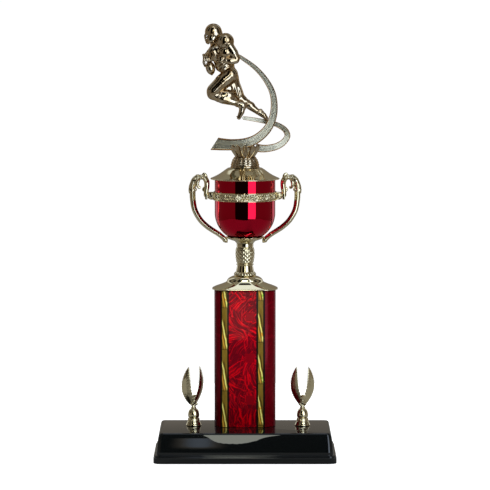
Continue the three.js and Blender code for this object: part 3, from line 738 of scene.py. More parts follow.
def steel():
    """Brushed zinc on steel."""
    g, at = new_material("zinc_steel")
    brushed = g.noise(g.stretched(at, (1.0, 1.0, 6.0)), 0.8, 4.0, 0.7)
    tone = g.colour(brushed, rgb(0.42, 0.42, 0.41), rgb(0.66, 0.66, 0.64))
    return metal(g, tone, g.ramp(brushed, 0.3, 0.7, 0.24, 0.45), g.bump(brushed, 0.06, 0.5))


def ballast():
    """Rough cast slab, rusty in places."""
    g, at = new_material("cast_ballast")
    grit = g.noise(at, 0.7, 5.0, 0.75)
    rust = g.ramp(g.noise(at, 0.05, 4.0), 0.52, 0.7)
    iron = g.colour(grit, rgb(0.05, 0.05, 0.05), rgb(0.13, 0.13, 0.12))
    tone = g.colour(rust, iron, rgb(0.16, 0.07, 0.03))
    return surface(g, {"Base Color": tone, "Metallic": 0.25, "Roughness": 0.78}, g.bump(grit, 0.4, 0.8))


# ------------------------------------------------------------------ base and column

BASE_EDGE = (  # how far in from the widest outline, and height, from the flat top down to the foot
    (9.8, 38.5), (9.0, 38.35), (8.4, 38.1), (7.7, 37.5), (7.2, 36.6), (6.8, 35.5), (6.42, 34.0),
    (6.02, 32.0), (5.6, 29.5), (5.24, 27.0), (4.88, 24.0), (4.4, 19.5), (3.95, 14.6), (3.8, 12.2),
    (3.75, 11.2), (3.6, 10.6), (2.8, 10.2), (1.9, 9.95), (1.3, 9.75), (1.08, 9.2), (1.0, 8.2),
    (0.85, 7.6), (0.4, 7.25), (0.1, 7.0), (0.0, 6.5), (0.0, 0.7), (0.12, 0.25), (0.5, 0.0))
BASE_HOLLOW = ((2.6, 0.0), (2.6, 6.6), (8.0, 18.0), (9.35, 35.0))  # the same for the inside, foot to roof
BASE_CORNER = 9.0


def inset_ring(width, depth, inset, corner, height, steps):
    """Rounded rectangle that lies an inset inside the widest one."""
    return rounded_ring(width - 2 * inset, depth - 2 * inset, corner, height, steps)


def make_base(plastic):
    low, high = span("base_shell")
    width, depth = (high - low)[:2]
    rings = []
    for inset, z in np.maximum(spline(BASE_EDGE, 3), 0).tolist() + list(BASE_HOLLOW):
        rings.append(inset_ring(width, depth, inset, BASE_CORNER - inset / 2, low[2] + z, 14))
    piece = lofted("base_moulding", rings, sharp=50)
    finish_piece(piece, "root", plastic, "base_shell")


COLUMN_CORNER, COLUMN_WALL = 16.0, 2.2
CUT_INSET, CUT_RISE = 0.25, 0.3  # bevel round the tube's sawn ends


def make_column(foil):
    low, high = span("column_tube")
    width, depth = (high - low)[:2]
    foot, top = low[2], high[2]
    rings = []
    for inset, z in ((CUT_INSET, foot), (0.0, foot + CUT_RISE), (0.0, top - CUT_RISE), (CUT_INSET, top),
                     (COLUMN_WALL, top), (COLUMN_WALL, foot)):
        rings.append(at_axis(inset_ring(width, depth, inset, COLUMN_CORNER - inset, z, 24)))
    piece = lofted("foil_column", rings, closed=True)
    finish_piece(piece, "root", foil, "column_tube")


CAP_RISE = (  # half-width and half-depth of the cap, and height above its underside
    (41.5, 24.9, 0.0), (42.1, 25.5, 0.25), (42.3, 25.7, 0.7), (42.2, 25.6, 1.2), (41.6, 25.3, 1.6),
    (40.8, 25.0, 2.1), (39.6, 24.4, 2.8), (36.6, 23.3, 4.2), (33.1, 22.25, 5.5), (29.6, 21.3, 6.8),
    (26.6, 20.6, 8.1), (24.6, 20.15, 9.1), (23.7, 19.6, 10.0), (23.2, 18.9, 10.9), (22.6, 18.4, 12.4),
    (21.2, 17.8, 13.9), (19.0, 16.9, 15.4), (16.6, 15.8, 16.4), (15.2, 15.0, 16.9))
CAP_CORNER = 19.0
CAP_SEAT = 0.3  # height of the cap's underside over the tube
CAP_STEP = 24.2  # half-width where the roof has turned round and meets its step


def make_cap(gold):
    high = span("column_cap")[1]
    full = CAP_RISE[2][0]
    rim = levels("column_tube")[1] + CAP_SEAT
    rings = []
    for half, half_depth, up in spline(CAP_RISE, 4):
        square = float(np.clip((half - CAP_STEP) / (full - CAP_STEP), 0, 1))
        corner = min(half, half_depth) * (1 - square) + CAP_CORNER * square
        ring = rounded_ring(2 * half, 2 * half_depth, corner, min(rim + up, high[2]), 18)
        rings.append(at_axis(ring))
    piece = lofted("column_roof", rings, sharp=30)
    finish_piece(piece, "root", gold, "column_cap")


# ------------------------------------------------------------------ stem, cup and lid

def bead(position, low, high):
    """One in the middle of a stretch and nothing at its ends."""
    return np.clip(1 - ((2 * position - low - high) / (high - low)) ** 2, 0, 1)


STEM_OUTLINE = (
    (13.4, 0), (14.0, 0.4), (14.2, 1.2), (13.9, 2.4), (13.2, 3.6), (12.4, 4.4), (11.9, 5.0), (11.5, 6.2),
    (11.1, 8.0), (10.7, 10.0), (10.3, 12.0), (10.1, 13.2), (10.9, 13.7), (11.2, 14.4), (10.9, 15.1),
    (10.2, 15.5), (10.1, 16.1), (10.7, 16.7), (11.2, 19), (11.8, 24), (12.1, 29), (11.9, 33),
    (11.2, 36.2), (10.7, 37.2), (10.8, 37.9), (10.9, 39.6))
STEM_LEAVES = 0.8, 4.6  # heights of the ring of leaves, and of the barrel under its net of diamonds
STEM_BARREL = 16.8, 36.5


def make_stem(gold):
    low, high = levels("stem")

    def vine(angle, radius, height):
        up = height - low
        outside = radius > 7
        diamonds = np.abs(np.sin(6 * angle + 0.62 * up)) * np.abs(np.sin(6 * angle - 0.62 * up))
        veins = 0.16 * np.sin(30 * angle + 2.9 * up) * np.sin(18 * angle - 1.7 * up)
        barrel = bead(up, *STEM_BARREL) ** 0.4 * (0.8 * diamonds ** 0.7 - 0.3 + veins)
        leaves = bead(up, *STEM_LEAVES) ** 0.5 * (0.7 * np.abs(np.cos(9 * angle)) ** 0.6 - 0.2)
        return np.where(outside, barrel + leaves, 0), 0 * up

    outer = raised(STEM_OUTLINE + ((10.9, high - low),), low, 7)
    profile = np.vstack([[(BORE, low)], outer, evened([(BORE, high), (BORE, low)], 8)[:-1]])
    piece = revolved("stem_riser", profile, 288, vine)
    finish_piece(piece, "root", gold, "stem")


CUP_R, CUP_WALL, CUP_SEAT_R = 39.1, 1.2, 9.0
CUP_BOWL_Z, CUP_BOWL_DEPTH = 315.0, 37.0  # height where the straight wall turns into the bowl, and its depth


def bowl_profile(inset, top):
    """One face of the cup's wall, an inset in from the outer one, from the seat up to the top."""
    start = math.asin(CUP_SEAT_R / CUP_R)
    angle = np.linspace(start, math.pi / 2, 48)
    r = (CUP_R - inset) * np.sin(angle)
    z = CUP_BOWL_Z - (CUP_BOWL_DEPTH - inset) * np.cos(angle)
    wall = evened([(CUP_R - inset, CUP_BOWL_Z), (CUP_R - inset, top)], 4)[1:]
    return np.vstack([np.stack([r, z], 1), wall])


def make_cup(red):
    top = levels("cup_bowl")[1]
    outer = bowl_profile(0, top)
    inner = bowl_profile(CUP_WALL, top)[::-1]
    profile = np.vstack([[(BORE, outer[0, 1])], outer, inner, [(BORE, inner[-1, 1])]])
    piece = revolved("cup_body", profile, 192)
    finish_piece(piece, "root", red, "cup_bowl")


HOLDER_OUTLINE = (  # petal holder: up its outside, over the rim and down into its cup
    (10.6, 0), (11.4, 0.5), (12.0, 1.4), (13.4, 2.9), (16.4, 4.3), (19.8, 5.6), (22.6, 6.9), (24.3, 8.1),
    (24.8, 8.9), (24.3, 9.1), (23.2, 8.5), (20.6, 7.0), (17.6, 5.7), (14.6, 4.6), (11.2, 3.6), (8.0, 3.0))
HOLDER_NECK = 2.6  # height where the petals part
PETALS = 12  # round the holder, and round the crown


def make_petals(gold):
    low, high = levels("cup_petals")

    def scallops(angle, radius, height):
        rim = np.clip((height - low - HOLDER_NECK) / (high - low - HOLDER_NECK), 0, 1)
        lobe = np.abs(np.cos(PETALS / 2 * angle)) ** 0.7
        flute = (0.9 * lobe - 0.9) * rim * (radius > 12)
        vein = 0.25 * np.cos(PETALS * 3 * angle) * bead(rim, 0.1, 1.0) * (radius > 12)
        return flute + vein, 1.5 * (lobe - 1) * rim * (radius > 15)

    outer = raised(HOLDER_OUTLINE, low, 5)
    profile = np.vstack([[(BORE, low)], outer, [(BORE, low + HOLDER_OUTLINE[-1][1])]])
    piece = revolved("petal_holder", profile, 288, scallops)
    finish_piece(piece, "root", gold, "cup_petals")


BAND_INNER, BAND_FACE = 39.6, 40.5
BAND_PITCH = 2 * math.pi / 22  # from a rosette to the leaves beside it
BAND_EDGE = ((0.1, 0), (0.45, 0.3), (0.5, 0.7), (0.2, 1.0), (0.1, 1.3))  # rim: out from the face, and up
BAND_RELIEF = 1.35
BAND_SINK = 0.75  # how far the ground between the flowers lies under the face


def band_flowers(angle, height, middle):
    """Height of the band's cast relief: rosettes between curled leaves, over a veined ground."""
    step = angle / BAND_PITCH + 0.5
    along = (step % 1 - 0.5) * BAND_PITCH * BAND_FACE
    up = height - middle
    turn, out = np.arctan2(up, along), np.hypot(along, up)
    rosette = np.clip(1 - out / (3.9 + 1.0 * np.cos(5 * turn)), 0, 1) ** 0.5
    rosette = rosette - 0.6 * np.exp(-(out / 0.8) ** 2)
    curl = np.exp(-((up - 2.6 * np.sin(along * 0.95)) / 0.8) ** 2)
    leaf = np.exp(-((up + 2.2 * np.sin(along * 0.95)) / 0.55) ** 2) * 0.8
    veins = 0.12 * np.sin(angle * 260 + up * 2.4)
    return BAND_RELIEF * np.where(np.floor(step) % 2 > 0, rosette, np.maximum(curl, leaf)) + veins


def leafy_lug(side, middle, low, high):
    """Cast end of the band that holds a handle: a rounded tongue with a rolled leaf over it."""
    clay = Clay((36, -5.5, low - middle - 1), (50, 5.5, high - middle + 1), 0.35)
    clay.egg((43.0, 0, 0), (5.6, 4.0, 5.2), 0)
    clay.egg((46.0, 0, 0.4), (2.6, 3.6, 4.4), 0.8)
    clay.line([(41.0, 0, 2.4), (44.8, 0, 3.0), (46.6, 0, 1.0), (45.6, 0, -1.2)], (2.4, 2.0, 1.7, 1.0), 0.5)
    clay.line([(41.0, 0, -3.0), (44.6, 0, -3.2), (46.6, 0, -2.2)], (1.9, 1.5, 1.1), 0.5)
    for y in (-2.6, 0.0, 2.6):
        clay.line([(39.8, y * 1.1, 4.2), (44.0, y, 3.9), (46.4, y * 0.9, 2.0)], (0.9, 0.8, 0.5), 0.4)
        clay.line([(39.8, y * 1.3, -4.2), (43.4, y * 1.1, -4.2)], (0.8, 0.5), 0.4)
    for z in (-1.6, 0.6):
        for y in (-1, 1):
            clay.line([(40.0, y * 3.8, z), (46.0, y * 3.4, z + 0.6)], (0.3, 0.5), 0.2, cut=True)
    clay.slab((50.0, 0, 0), (2.0, 6, 8), 0.1, 0, cut=True)
    clay.slab((34.4, 0, 0), (BAND_INNER + 0.6 - 34.4, 6, 8), 0.1, 0, cut=True)
    lug = clay.skin("lug")
    for vertex in lug.data.vertices:
        x, y, z = vertex.co
        vertex.co = (AXIS[0] / MM + side * x, AXIS[1] / MM + side * y, middle / MM + z)
    return outward(lug)


def make_band(gold):
    low, high = levels("cup_band")
    middle = (low + high) / 2

    def cast(angle, radius, height):
        face = (radius > BAND_INNER + 0.4) * bead(height, low + 1.2, high - 1.2) ** 0.25
        return face * (band_flowers(angle, height, middle) - BAND_SINK), 0 * height

    edge = [(BAND_FACE + out, low + up) for out, up in BAND_EDGE]
    outer = edge + [(r, low + high - z) for r, z in edge[::-1]]
    profile = np.vstack([[(BAND_INNER, low)], evened(outer, 0.25), [(BAND_INNER, high)]])
    ring = revolved("floral_band", profile, 900, cast)
    piece = merged("floral_band", [ring] + [leafy_lug(side, middle, low, high) for side in (-1, 1)])
    finish_piece(piece, "root", gold, "cup_band")


def merged(name, pieces):
    """The pieces as one mesh object."""
    bm = bmesh.new()
    for piece in pieces:
        bm.from_mesh(piece.data)
        bpy.data.objects.remove(piece)
    mesh = bpy.data.meshes.new(name)
    bm.to_mesh(mesh)
    bm.free()
    whole = bpy.data.objects.new(name, mesh)
    bpy.context.scene.collection.objects.link(whole)
    return whole


LID_ROOF = (  # from the lid's edge in and up, then what is measured down from its top, and the ceiling
    (43.6, 0), (44.3, 0.25), (44.6, 0.75), (44.4, 1.3), (43.7, 1.7), (42.6, 2.1), (40.0, 3.3),
    (36.0, 5.3), (32.0, 7.7), (28.0, 10.5), (25.2, 12.6))
LID_CROWN = ((23.4, 0.9), (22.4, 0.25))
LID_CEILING = ((24.2, 11.2), (28.0, 8.6), (32.0, 5.9), (36.4, 3.4), (37.6, 1.0), (38.0, 0))
LID_WALL = 1.5


def make_lid(gold):
    low, high = levels("cup_lid")
    top = high - 0.02
    outer = [(r, low + up) for r, up in LID_ROOF] + [(r, high - down) for r, down in LID_CROWN]
    outer += [(21.4, top), (16.0, top)]
    inner = [(21.0, high - LID_WALL)] + [(r, low + up) for r, up in LID_CEILING]
    profile = np.vstack([spline(outer, 6), [(BORE, top), (BORE, high - LID_WALL)], spline(inner, 4)])
    piece = revolved("lid_cone", profile, 240)
    finish_piece(piece, "root", gold, "cup_lid")


# ------------------------------------------------------------------ handles

HANDLE_TUBE = (
    (61, 360.6), (65.4, 356.6), (67.3, 350), (67.6, 342), (67.2, 331.5), (64.7, 318.6), (57.8, 306.2),
    (49.4, 297.8), (41.4, 292.2), (33.8, 287.4), (28.6, 283), (25.2, 279.2))
TUBE_R, TUBE_END_R = 4.3, 3.0
FACET_R, FACET_DEPTH = 12.0, 0.72  # radius of the hollow faces inside the tube, and their depth by its radius
LUG_FACE = 48.3  # how far out the handle meets the band's lug
HANDLE_CELL = 0.42


def in_plane(points, per_span=1):
    """A smooth line in the handle's own plane, through points of x and z."""
    return spline([(x, 0, z) for x, z in points], per_span)


def sculpt_tube(clay):
    """Long tube with two hollow faces along its inside, and the curl that it ends in."""
    tube = in_plane(HANDLE_TUBE, 5)
    radius = np.linspace(TUBE_R, TUBE_END_R, len(tube))
    clay.line(tube, radius, 0)
    inward = np.gradient(tube, axis=0)[:, [2, 1, 0]] * [1, 0, -1]
    inward /= np.linalg.norm(inward, axis=1)[:, None]
    bare = slice(len(tube) // 6, len(tube) * 7 // 8)
    for y in (-1, 1):
        facet = (inward + [0, y, 0]) * math.sqrt(0.5)
        gouge = tube + facet * (FACET_R + FACET_DEPTH * radius)[:, None]
        clay.line(gouge[bare], FACET_R, 0.3, cut=True)
    clay.line(in_plane([(28.6, 283.6), (25.4, 279.9), (23.2, 276.9)]), (2.6, 3.0, 0.9), 0.8)
    clay.line(in_plane([(27.4, 281.0), (27.6, 277.6)]), (2.0, 0.7), 0.6)
    clay.ring((33.6, 0, 287.3), (-7, 0, -5), 2.4, 0.8, 0.5)
    clay.ring((36.4, 0, 289.1), (-7, 0, -5), 2.5, 0.5, 0.4)


def sculpt_neck(clay):
    """Foot on the lug, the neck that arches from it, and the ribs and leaf roots along its sides."""
    clay.slab((LUG_FACE + 1.6, 0, 336.6), (1.7, 3.5, 4.2), 0.8, 0.5)
    neck = in_plane([(LUG_FACE + 2.2, 338), (LUG_FACE + 1.6, 344), (49.2, 350.2), (49.6, 356.2),
                     (52.6, 360.4), (57.4, 361.2), (62.2, 358.8), (65.8, 354)], 5)
    swell = np.sin(np.linspace(0.15, 1, len(neck)) * math.pi) ** 0.7
    clay.line(neck, 1.9 + 1.7 * swell, 0.8)
    tendril = in_plane([(LUG_FACE + 1.2, 342), (53.9, 344.6), (52.6, 347.4), (50.6, 346.6)], 4)
    clay.line(tendril, 1.5, 0.6)
    for side in (-1, 1):
        rib = spline([(49.2, side * 2.2, 350), (50.2, side * 3.6, 356.6), (53.8, side * 3.4, 360.4),
                      (58.2, side * 3.2, 360.8), (62.6, side * 3.2, 357.8), (65.6, side * 2.8, 352)], 5)
        clay.line(rib, np.concatenate([np.linspace(0.7, 1.5, 13), np.linspace(1.5, 0.6, 13)]), 0.4)
        for k in range(5):
            root = spline([(51 + 3.1 * k, side * 3.2, 358.4 + 2 * math.sin(0.6 * k)),
                           (52.4 + 3.1 * k, side * 4.2, 360.6 + 1.6 * math.sin(0.65 * k) - 0.5 * k),
                           (54.2 + 3.1 * k, side * 3.4, 362.2 + 1.0 * math.sin(0.7 * k) - 1.1 * k)], 4)
            clay.line(root, np.linspace(1.3, 0.5, len(root)), 0.5)


def sculpt_leaves(clay):
    """Crest over the neck, a leaf down each side of the bend, their collar, and the cuts between veins."""
    crest = in_plane([(50.6, 359.4), (50.4, 362.6), (51.6, 365.0), (53.6, 365.6), (54.6, 364.2)], 4)
    clay.line(crest, np.linspace(2.4, 0.9, len(crest)), 0.8)
    outer_leaf = in_plane([(63.4, 358.6), (68.0, 353.4), (70.0, 347.6), (71.2, 343.0), (71.9, 340.8)], 4)
    clay.line(outer_leaf, np.concatenate([np.linspace(2.6, 2.9, 8), np.linspace(2.7, 0.6, 9)]), 0.8)
    inner_leaf = in_plane([(60.4, 358.4), (61.4, 352.8), (60.4, 348.6), (58.6, 347.2), (57.6, 348.8)], 4)
    clay.line(inner_leaf, np.linspace(2.8, 0.9, len(inner_leaf)), 0.8)
    clay.line(in_plane([(64.2, 345.2), (67.6, 343.6), (70.6, 344.6)], 4), 2.3, 0.8, flat=(1, 1.5, 1))
    for side in (-1, 1):
        for dx in (-1.3, 1.3):
            vein = [(67.0 + dx, side * 3.8, 355.5), (68.0 + dx, side * 4.0, 347.5),
                    (67.8 + dx, side * 3.8, 342)]
            clay.line(vein, (0.3, 0.55, 0.2), 0.3, cut=True)
        for k in range(4):
            vein = [(52.6 + 3.2 * k, side * 4.4, 357.2 + 1.4 * math.sin(0.8 * k)),
                    (54.4 + 3.2 * k, side * 4.6, 361.4 - 0.8 * k)]
            clay.line(vein, (0.3, 0.5), 0.3, cut=True)


def make_handles(gold):
    """The +X handle, sculpted about the model's origin, and its copy turned half round the axis."""
    clay = Clay((22, -8, 275), (76, 8, 369), HANDLE_CELL)
    for part in (sculpt_tube, sculpt_neck, sculpt_leaves):
        part(clay)
    right = clay.skin("handle_right_scroll")
    local = np.empty(len(right.data.vertices) * 3, np.float32)
    right.data.vertices.foreach_get("co", local)
    local = local.reshape(-1, 3)
    left = bpy.data.objects.new("handle_left_scroll", right.data.copy())
    bpy.context.scene.collection.objects.link(left)
    for piece, turn, node in ((right, 1, "handle_right"), (left, -1, "handle_left")):
        placed = local * [turn, turn, 1] + AXIS / MM
        piece.data.vertices.foreach_set("co", placed.astype(np.float32).ravel())
        piece.data.update()
        finish_piece(piece, "root", gold, node)


# ------------------------------------------------------------------ figure base and ribbons

CROWN_NECK, CROWN_FLOOR = 14.6, 16.2  # heights of the neck and of the bottom inside the crown
BELL_OUTLINE = (
    (17.8, 0), (18.4, 0.3), (18.7, 0.9), (18.6, 1.6), (18.1, 2.1), (17.7, 2.5), (18.2, 2.9), (18.3, 3.5),
    (17.9, 4.6), (17.2, 7.0), (16.3, 9.6), (15.0, 12.0), (13.6, 13.7), (12.9, CROWN_NECK))
CROWN_OUTSIDE = ((13.2, 15.6), (14.2, 18.2), (15.6, 21.6), (17.2, 25.4))
CROWN_INSIDE = ((16.4, 25.4), (14.6, 21.6), (12.8, 18.2), (10.6, CROWN_FLOOR))
CROWN_RIM = ((18.7, 0.7), (18.9, 0.1), (18.2, 0.2))  # these heights are down from the petals' tips
BELL_SOCKET = 10.2, 15.4  # radius and height of the hollow inside the bell
NOTCH_DEPTH, PETAL_SCOOP, PETAL_KEEL = 4.2, 1.5, 0.5
BELL_ROWS = 0.9, 0.34  # relief of the bell's upright ribs, and of the rows across them


def make_crown(gold):
    """Faceted bell under a flared crown of pointed petals."""
    low, high = levels("figure_base")
    neck = low + CROWN_NECK

    def petals(angle, radius, height):
        up = height - low
        blade = np.clip((height - neck) / (high - neck), 0, 1)
        turn = (angle / (2 * math.pi) * PETALS + 0.5) % 1 - 0.5
        notch = (2 * np.abs(turn)) ** 1.1
        lift = -NOTCH_DEPTH * notch * blade**1.4
        scoop = -PETAL_SCOOP * np.cos(2 * math.pi * turn) * bead(blade, -0.1, 1.2)
        keel = PETAL_KEEL * np.exp(-(turn / 0.05) ** 2) * blade * (1 - blade)
        curve = (scoop + keel) * (height > neck) * (radius > 11.0)
        ribs = BELL_ROWS[0] * np.abs(np.cos(PETALS / 2 * angle)) ** 0.8
        rows = BELL_ROWS[1] * np.cos((up - 4.2) * 2.1)
        bell = bead(up, 2.9, 14.4) ** 0.4 * (radius > 12.0) * (ribs + rows - 0.75)
        return curve + bell, lift

    rim = tuple((radius, high - low - down) for radius, down in CROWN_RIM)
    outer = raised(BELL_OUTLINE + CROWN_OUTSIDE + rim + CROWN_INSIDE, low, 5)
    floor, (socket, roof) = outer[-1, 1], BELL_SOCKET
    inner = [(0.4, floor), (0.4, low + roof), (socket, low + roof)]
    profile = np.vstack([[(socket, low)], outer, inner])
    piece = revolved("crown_bell", profile, 360, petals)
    finish_piece(piece, "figure", gold, "figure_base")


RIM_BEAD = 0.88, 0.07, 0.5  # place, width and height, in shares of the half-width and of the thickness
CREASE = 0.06, 0.14  # width and height of the line down the middle
FINE_LINES = 26, 0.04
RIBBON_BODY = 0.62


def section(points):
    """Round a ribbon's section: place across it, from -1 to 1, and the rises of its body and its relief."""
    s = np.sin(np.linspace(-1, 1, points) * math.pi / 2)
    place, width, height = RIM_BEAD
    rounding = np.clip((1 - s**2) * 9, 0.05, 1) ** 0.5
    relief = height * np.exp(-((np.abs(s) - place) / width) ** 2)
    relief = relief + CREASE[1] * np.exp(-(s / CREASE[0]) ** 2) + FINE_LINES[1] * np.cos(s * FINE_LINES[0])
    faces = [s, RIBBON_BODY * rounding, relief * rounding]
    back = [s[::-1][1:-1], *(-face[::-1][1:-1] for face in faces[1:])]
    return [np.concatenate(pair) for pair in zip(faces, back)]


def ribbon(name, path, half, slant, steps, thick, tail):
    """Moulded ribbon: a raised bead along both edges, a crease down the middle, and fine lines between.
    half is its half-width at both ends, slant skews its first end, and it narrows over the tail."""
    line = at_axis(spline(path, steps))
    ahead = np.gradient(line, axis=0)
    ahead /= np.linalg.norm(ahead, axis=1)[:, None]
    side = np.cross([0, 1, 0], ahead)
    side /= np.linalg.norm(side, axis=1)[:, None]
    top = np.cross(ahead, side)
    across, body, relief = section(65)
    rings = []
    for k, t in enumerate(np.linspace(0, 1, len(line))):
        width = half[0] + (half[1] - half[0]) * t**0.9
        ending = np.clip((1 - t) / tail, 0, 1) ** 0.5
        slip = slant * across * np.clip(1 - t / 0.12, 0, 1)
        rise = body * min(1, width / 5) + relief * min(1, width / 8) ** 1.5
        ring = line[k] + np.outer(across * width * max(ending, 0.12), side[k]) + np.outer(slip, ahead[k])
        rings.append(ring + np.outer(rise * thick * max(ending, 0.3), top[k]))
    piece = lofted(name, rings, sharp=60)
    # the place across the ribbon, which the satin material reads to paint a dark reflection along its edges
    rim = piece.data.attributes.new("rim", "FLOAT", "POINT")
    rim.data.foreach_set("value", np.tile(np.abs(across), len(rings)).astype(np.float32))
    return piece


MAIN_PATH = (
    (-39.4, -4, 404.4), (-28, -4.6, 403.6), (-15, -5, 403.4), (1, -4.6, 405.4), (15, -3.4, 411),
    (28, -1.6, 422.4), (35.4, 0, 437), (37.6, 1, 453), (35.2, 1.8, 470), (26.8, 2.2, 486.2),
    (13.6, 2.2, 501.4), (-3.4, 2, 514.0), (-12.6, 1.6, 519.2))
LOOP_PATH = (
    (14, 3.4, 399), (22, 4, 397.8), (31, 4.8, 398.2), (41, 6, 400.6), (49.6, 8, 405.8),
    (54.8, 10, 413.8), (51.4, 11.4, 421.8), (42, 12, 427.8), (30.4, 11.8, 431.2), (16, 10.4, 434.2),
    (4, 8, 436.2), (-3.6, 5.4, 437.4))


def make_ribbons(satin):
    main = ribbon("swoosh_ribbon", MAIN_PATH, (8.4, 2.0), -4.6, 14, 1.6, 0.015)
    finish_piece(main, "figure", satin, "ribbon_main")
    loop = ribbon("loop_ribbon", LOOP_PATH, (5.4, 2.2), 0.0, 12, 1.4, 0.02)
    finish_piece(loop, "figure", satin, "ribbon_loop")


# ------------------------------------------------------------------ the ball player

PLAYER_CELL = 0.56
HEAD_CELL = 0.32
HELMET = (-40.6, 0.0, 547.9)
HEAD_NOD = 22.0  # degrees that the head looks down
BALL = (-44.4, -2.0, 501.8)
BALL_SOCKET = (6.8, 6.8, 9.8)  # half-lengths of the hollow that the arms leave for it


def sculpt_trunk(clay):
    clay.egg((-30.0, 0, 521.5), (13.0, 13.8, 14.5), 0)
    clay.egg((-38.6, -6, 520.5), (9.0, 7.4, 10.6), 3)
    clay.egg((-39.0, 6, 520.5), (8.8, 7.2, 10.6), 3)
    clay.egg((-28.2, 0.4, 507.4), (11.4, 11.6, 12.0), 4)
    clay.egg((-21.0, 1.5, 505.6), (7.4, 9.6, 9.0), 3)
    clay.egg((-19.4, 1.4, 494.4), (9.8, 11.6, 9.4), 3)
    clay.line([(-36, 0, 531), (-39.2, 0, 539.5)], (7.0, 6.0), 2)
    clay.line([(-33.6, -2.4, 534), (-26, -9, 537)], (4.4, 5.4), 3)
    clay.line([(-37.6, 2.4, 533), (-37, 9, 533)], (4.4, 5.4), 3)
    clay.egg((-24.8, -13.8, 536.0), (10.8, 8.8, 10.8), 1.2)
    clay.egg((-35.4, 13.6, 532.6), (9.6, 8.2, 9.6), 1.6)
    clay.ring((-24.6, -14.6, 530.4), (0.55, -0.4, -1), 9.4, 0.8, 0.5)
    clay.ring((-35.6, 14.6, 527.6), (-0.2, 0.5, -1), 8.2, 0.8, 0.5)


def sculpt_near_arm(clay):
    clay.egg((-24.6, -16.6, 522.4), (8.6, 6.6, 7.8), 0.6)
    clay.line([(-19.8, -16.6, 529), (-14.8, -17.2, 521.5), (-11.0, -16.6, 514.8)], (6.4, 6.0, 4.8), 1.0)
    clay.egg((-13.6, -17.6, 521.0), (4.2, 4.0, 5.4), 1.5)
    clay.egg((-12.2, -16.4, 512.8), (4.6, 4.2, 5.0), 1.0)
    clay.line([(-12.0, -16.6, 512.4), (-18.4, -18.0, 511.0), (-25.6, -17.6, 511.8)], (4.8, 5.0, 3.6), 0.7)
    clay.ring((-24.2, -17.7, 511.8), (1, 0, 0.0), 3.9, 0.7, 0.3)
    clay.egg((-29.4, -16.8, 512.8), (4.8, 3.8, 5.2), 0.8)
    for k in range(4):
        z = 516.4 - 2.4 * k
        knuckle = spline([(-29.6, -19.9, z), (-33.2, -19.0, z - 0.3), (-34.4, -16.2, z - 0.6),
                          (-32.4, -14.4, z - 0.6)], 3)
        clay.line(knuckle, 1.35, 0.25)
    clay.line([(-28.4, -19.6, 517.4), (-31.0, -18.2, 519.0), (-33.0, -16.0, 518.4)], (1.7, 1.5, 1.2), 0.4)


def sculpt_far_arm(clay):
    clay.line([(-36, 14.6, 530), (-41.0, 15.4, 525), (-45.0, 13.4, 520.4)], (6.2, 5.6, 4.8), 1.2)
    clay.line([(-45.0, 13.4, 520.4), (-47.6, 8.0, 517.8), (-49.2, 3.6, 516.0)], (4.9, 4.6, 3.6), 1.0)
    clay.ring((-48.6, 5.4, 516.8), (-0.4, -1, -0.4), 3.9, 0.7, 0.4)
    clay.egg((-49.4, 0.6, 515.8), (5.0, 4.8, 4.8), 1.0)
    for k in range(4):
        x = -53.2 + 2.8 * k
        finger = spline([(x, -0.6, 518.4), (x + 0.4, -4.6, 517.2), (x + 1.0, -7.2, 514.2),
                         (x + 1.6, -7.8, 511.0)], 3)
        clay.line(finger, np.linspace(1.75, 1.3, len(finger)), 0.25)
    clay.line([(-52.2, 3.0, 513.5), (-53.0, 3.2, 508.6), (-51.4, 3.4, 504.0)], (2.1, 1.8, 1.4), 0.5)


def sculpt_front_leg(clay):
    clay.line([(-19.0, -4.4, 493.0), (-30, -5.8, 483.2), (-40.4, -6.4, 473.0)], (10.2, 9.4, 8.6), 2)
    clay.egg((-27.5, -6.4, 487.4), (9.0, 7.2, 5.8), 3)
    clay.egg((-41.6, -6.4, 469.8), (7.2, 6.6, 8.4), 2)
    clay.egg((-45.4, -6.6, 469.0), (3.2, 4.8, 5.6), 1.0)
    clay.line([(-40.6, -6.4, 467.6), (-28, -6.0, 462.4), (-10.8, -5.0, 456.8)], (6.6, 6.6, 4.0), 1.6)
    clay.egg((-24.0, -6.0, 466.4), (11.0, 6.0, 7.2), 2.0)
    clay.egg((-22.0, 0.6, 474.5), (8.0, 6.0, 9.0), 2.0)
    clay.line([(-10.4, -5.0, 456.6), (-4.6, -4.8, 454.0)], (4.3, 4.6), 1.0)
    clay.line([(-2.8, -4.8, 454.2), (-4.4, -4.6, 445.4), (-7.8, -4.4, 438.0)], (4.4, 3.7, 2.6), 1.0)
    clay.egg((-1.2, -4.8, 452.6), (3.2, 3.5, 3.6), 0.8)
    clay.ring((-9.4, -4.9, 456.2), (1, 0, -0.45), 4.5, 0.65, 0.3)
    clay.ring((-33.6, -6.2, 465.4), (1, 0, -0.35), 7.2, 0.5, 0.5)


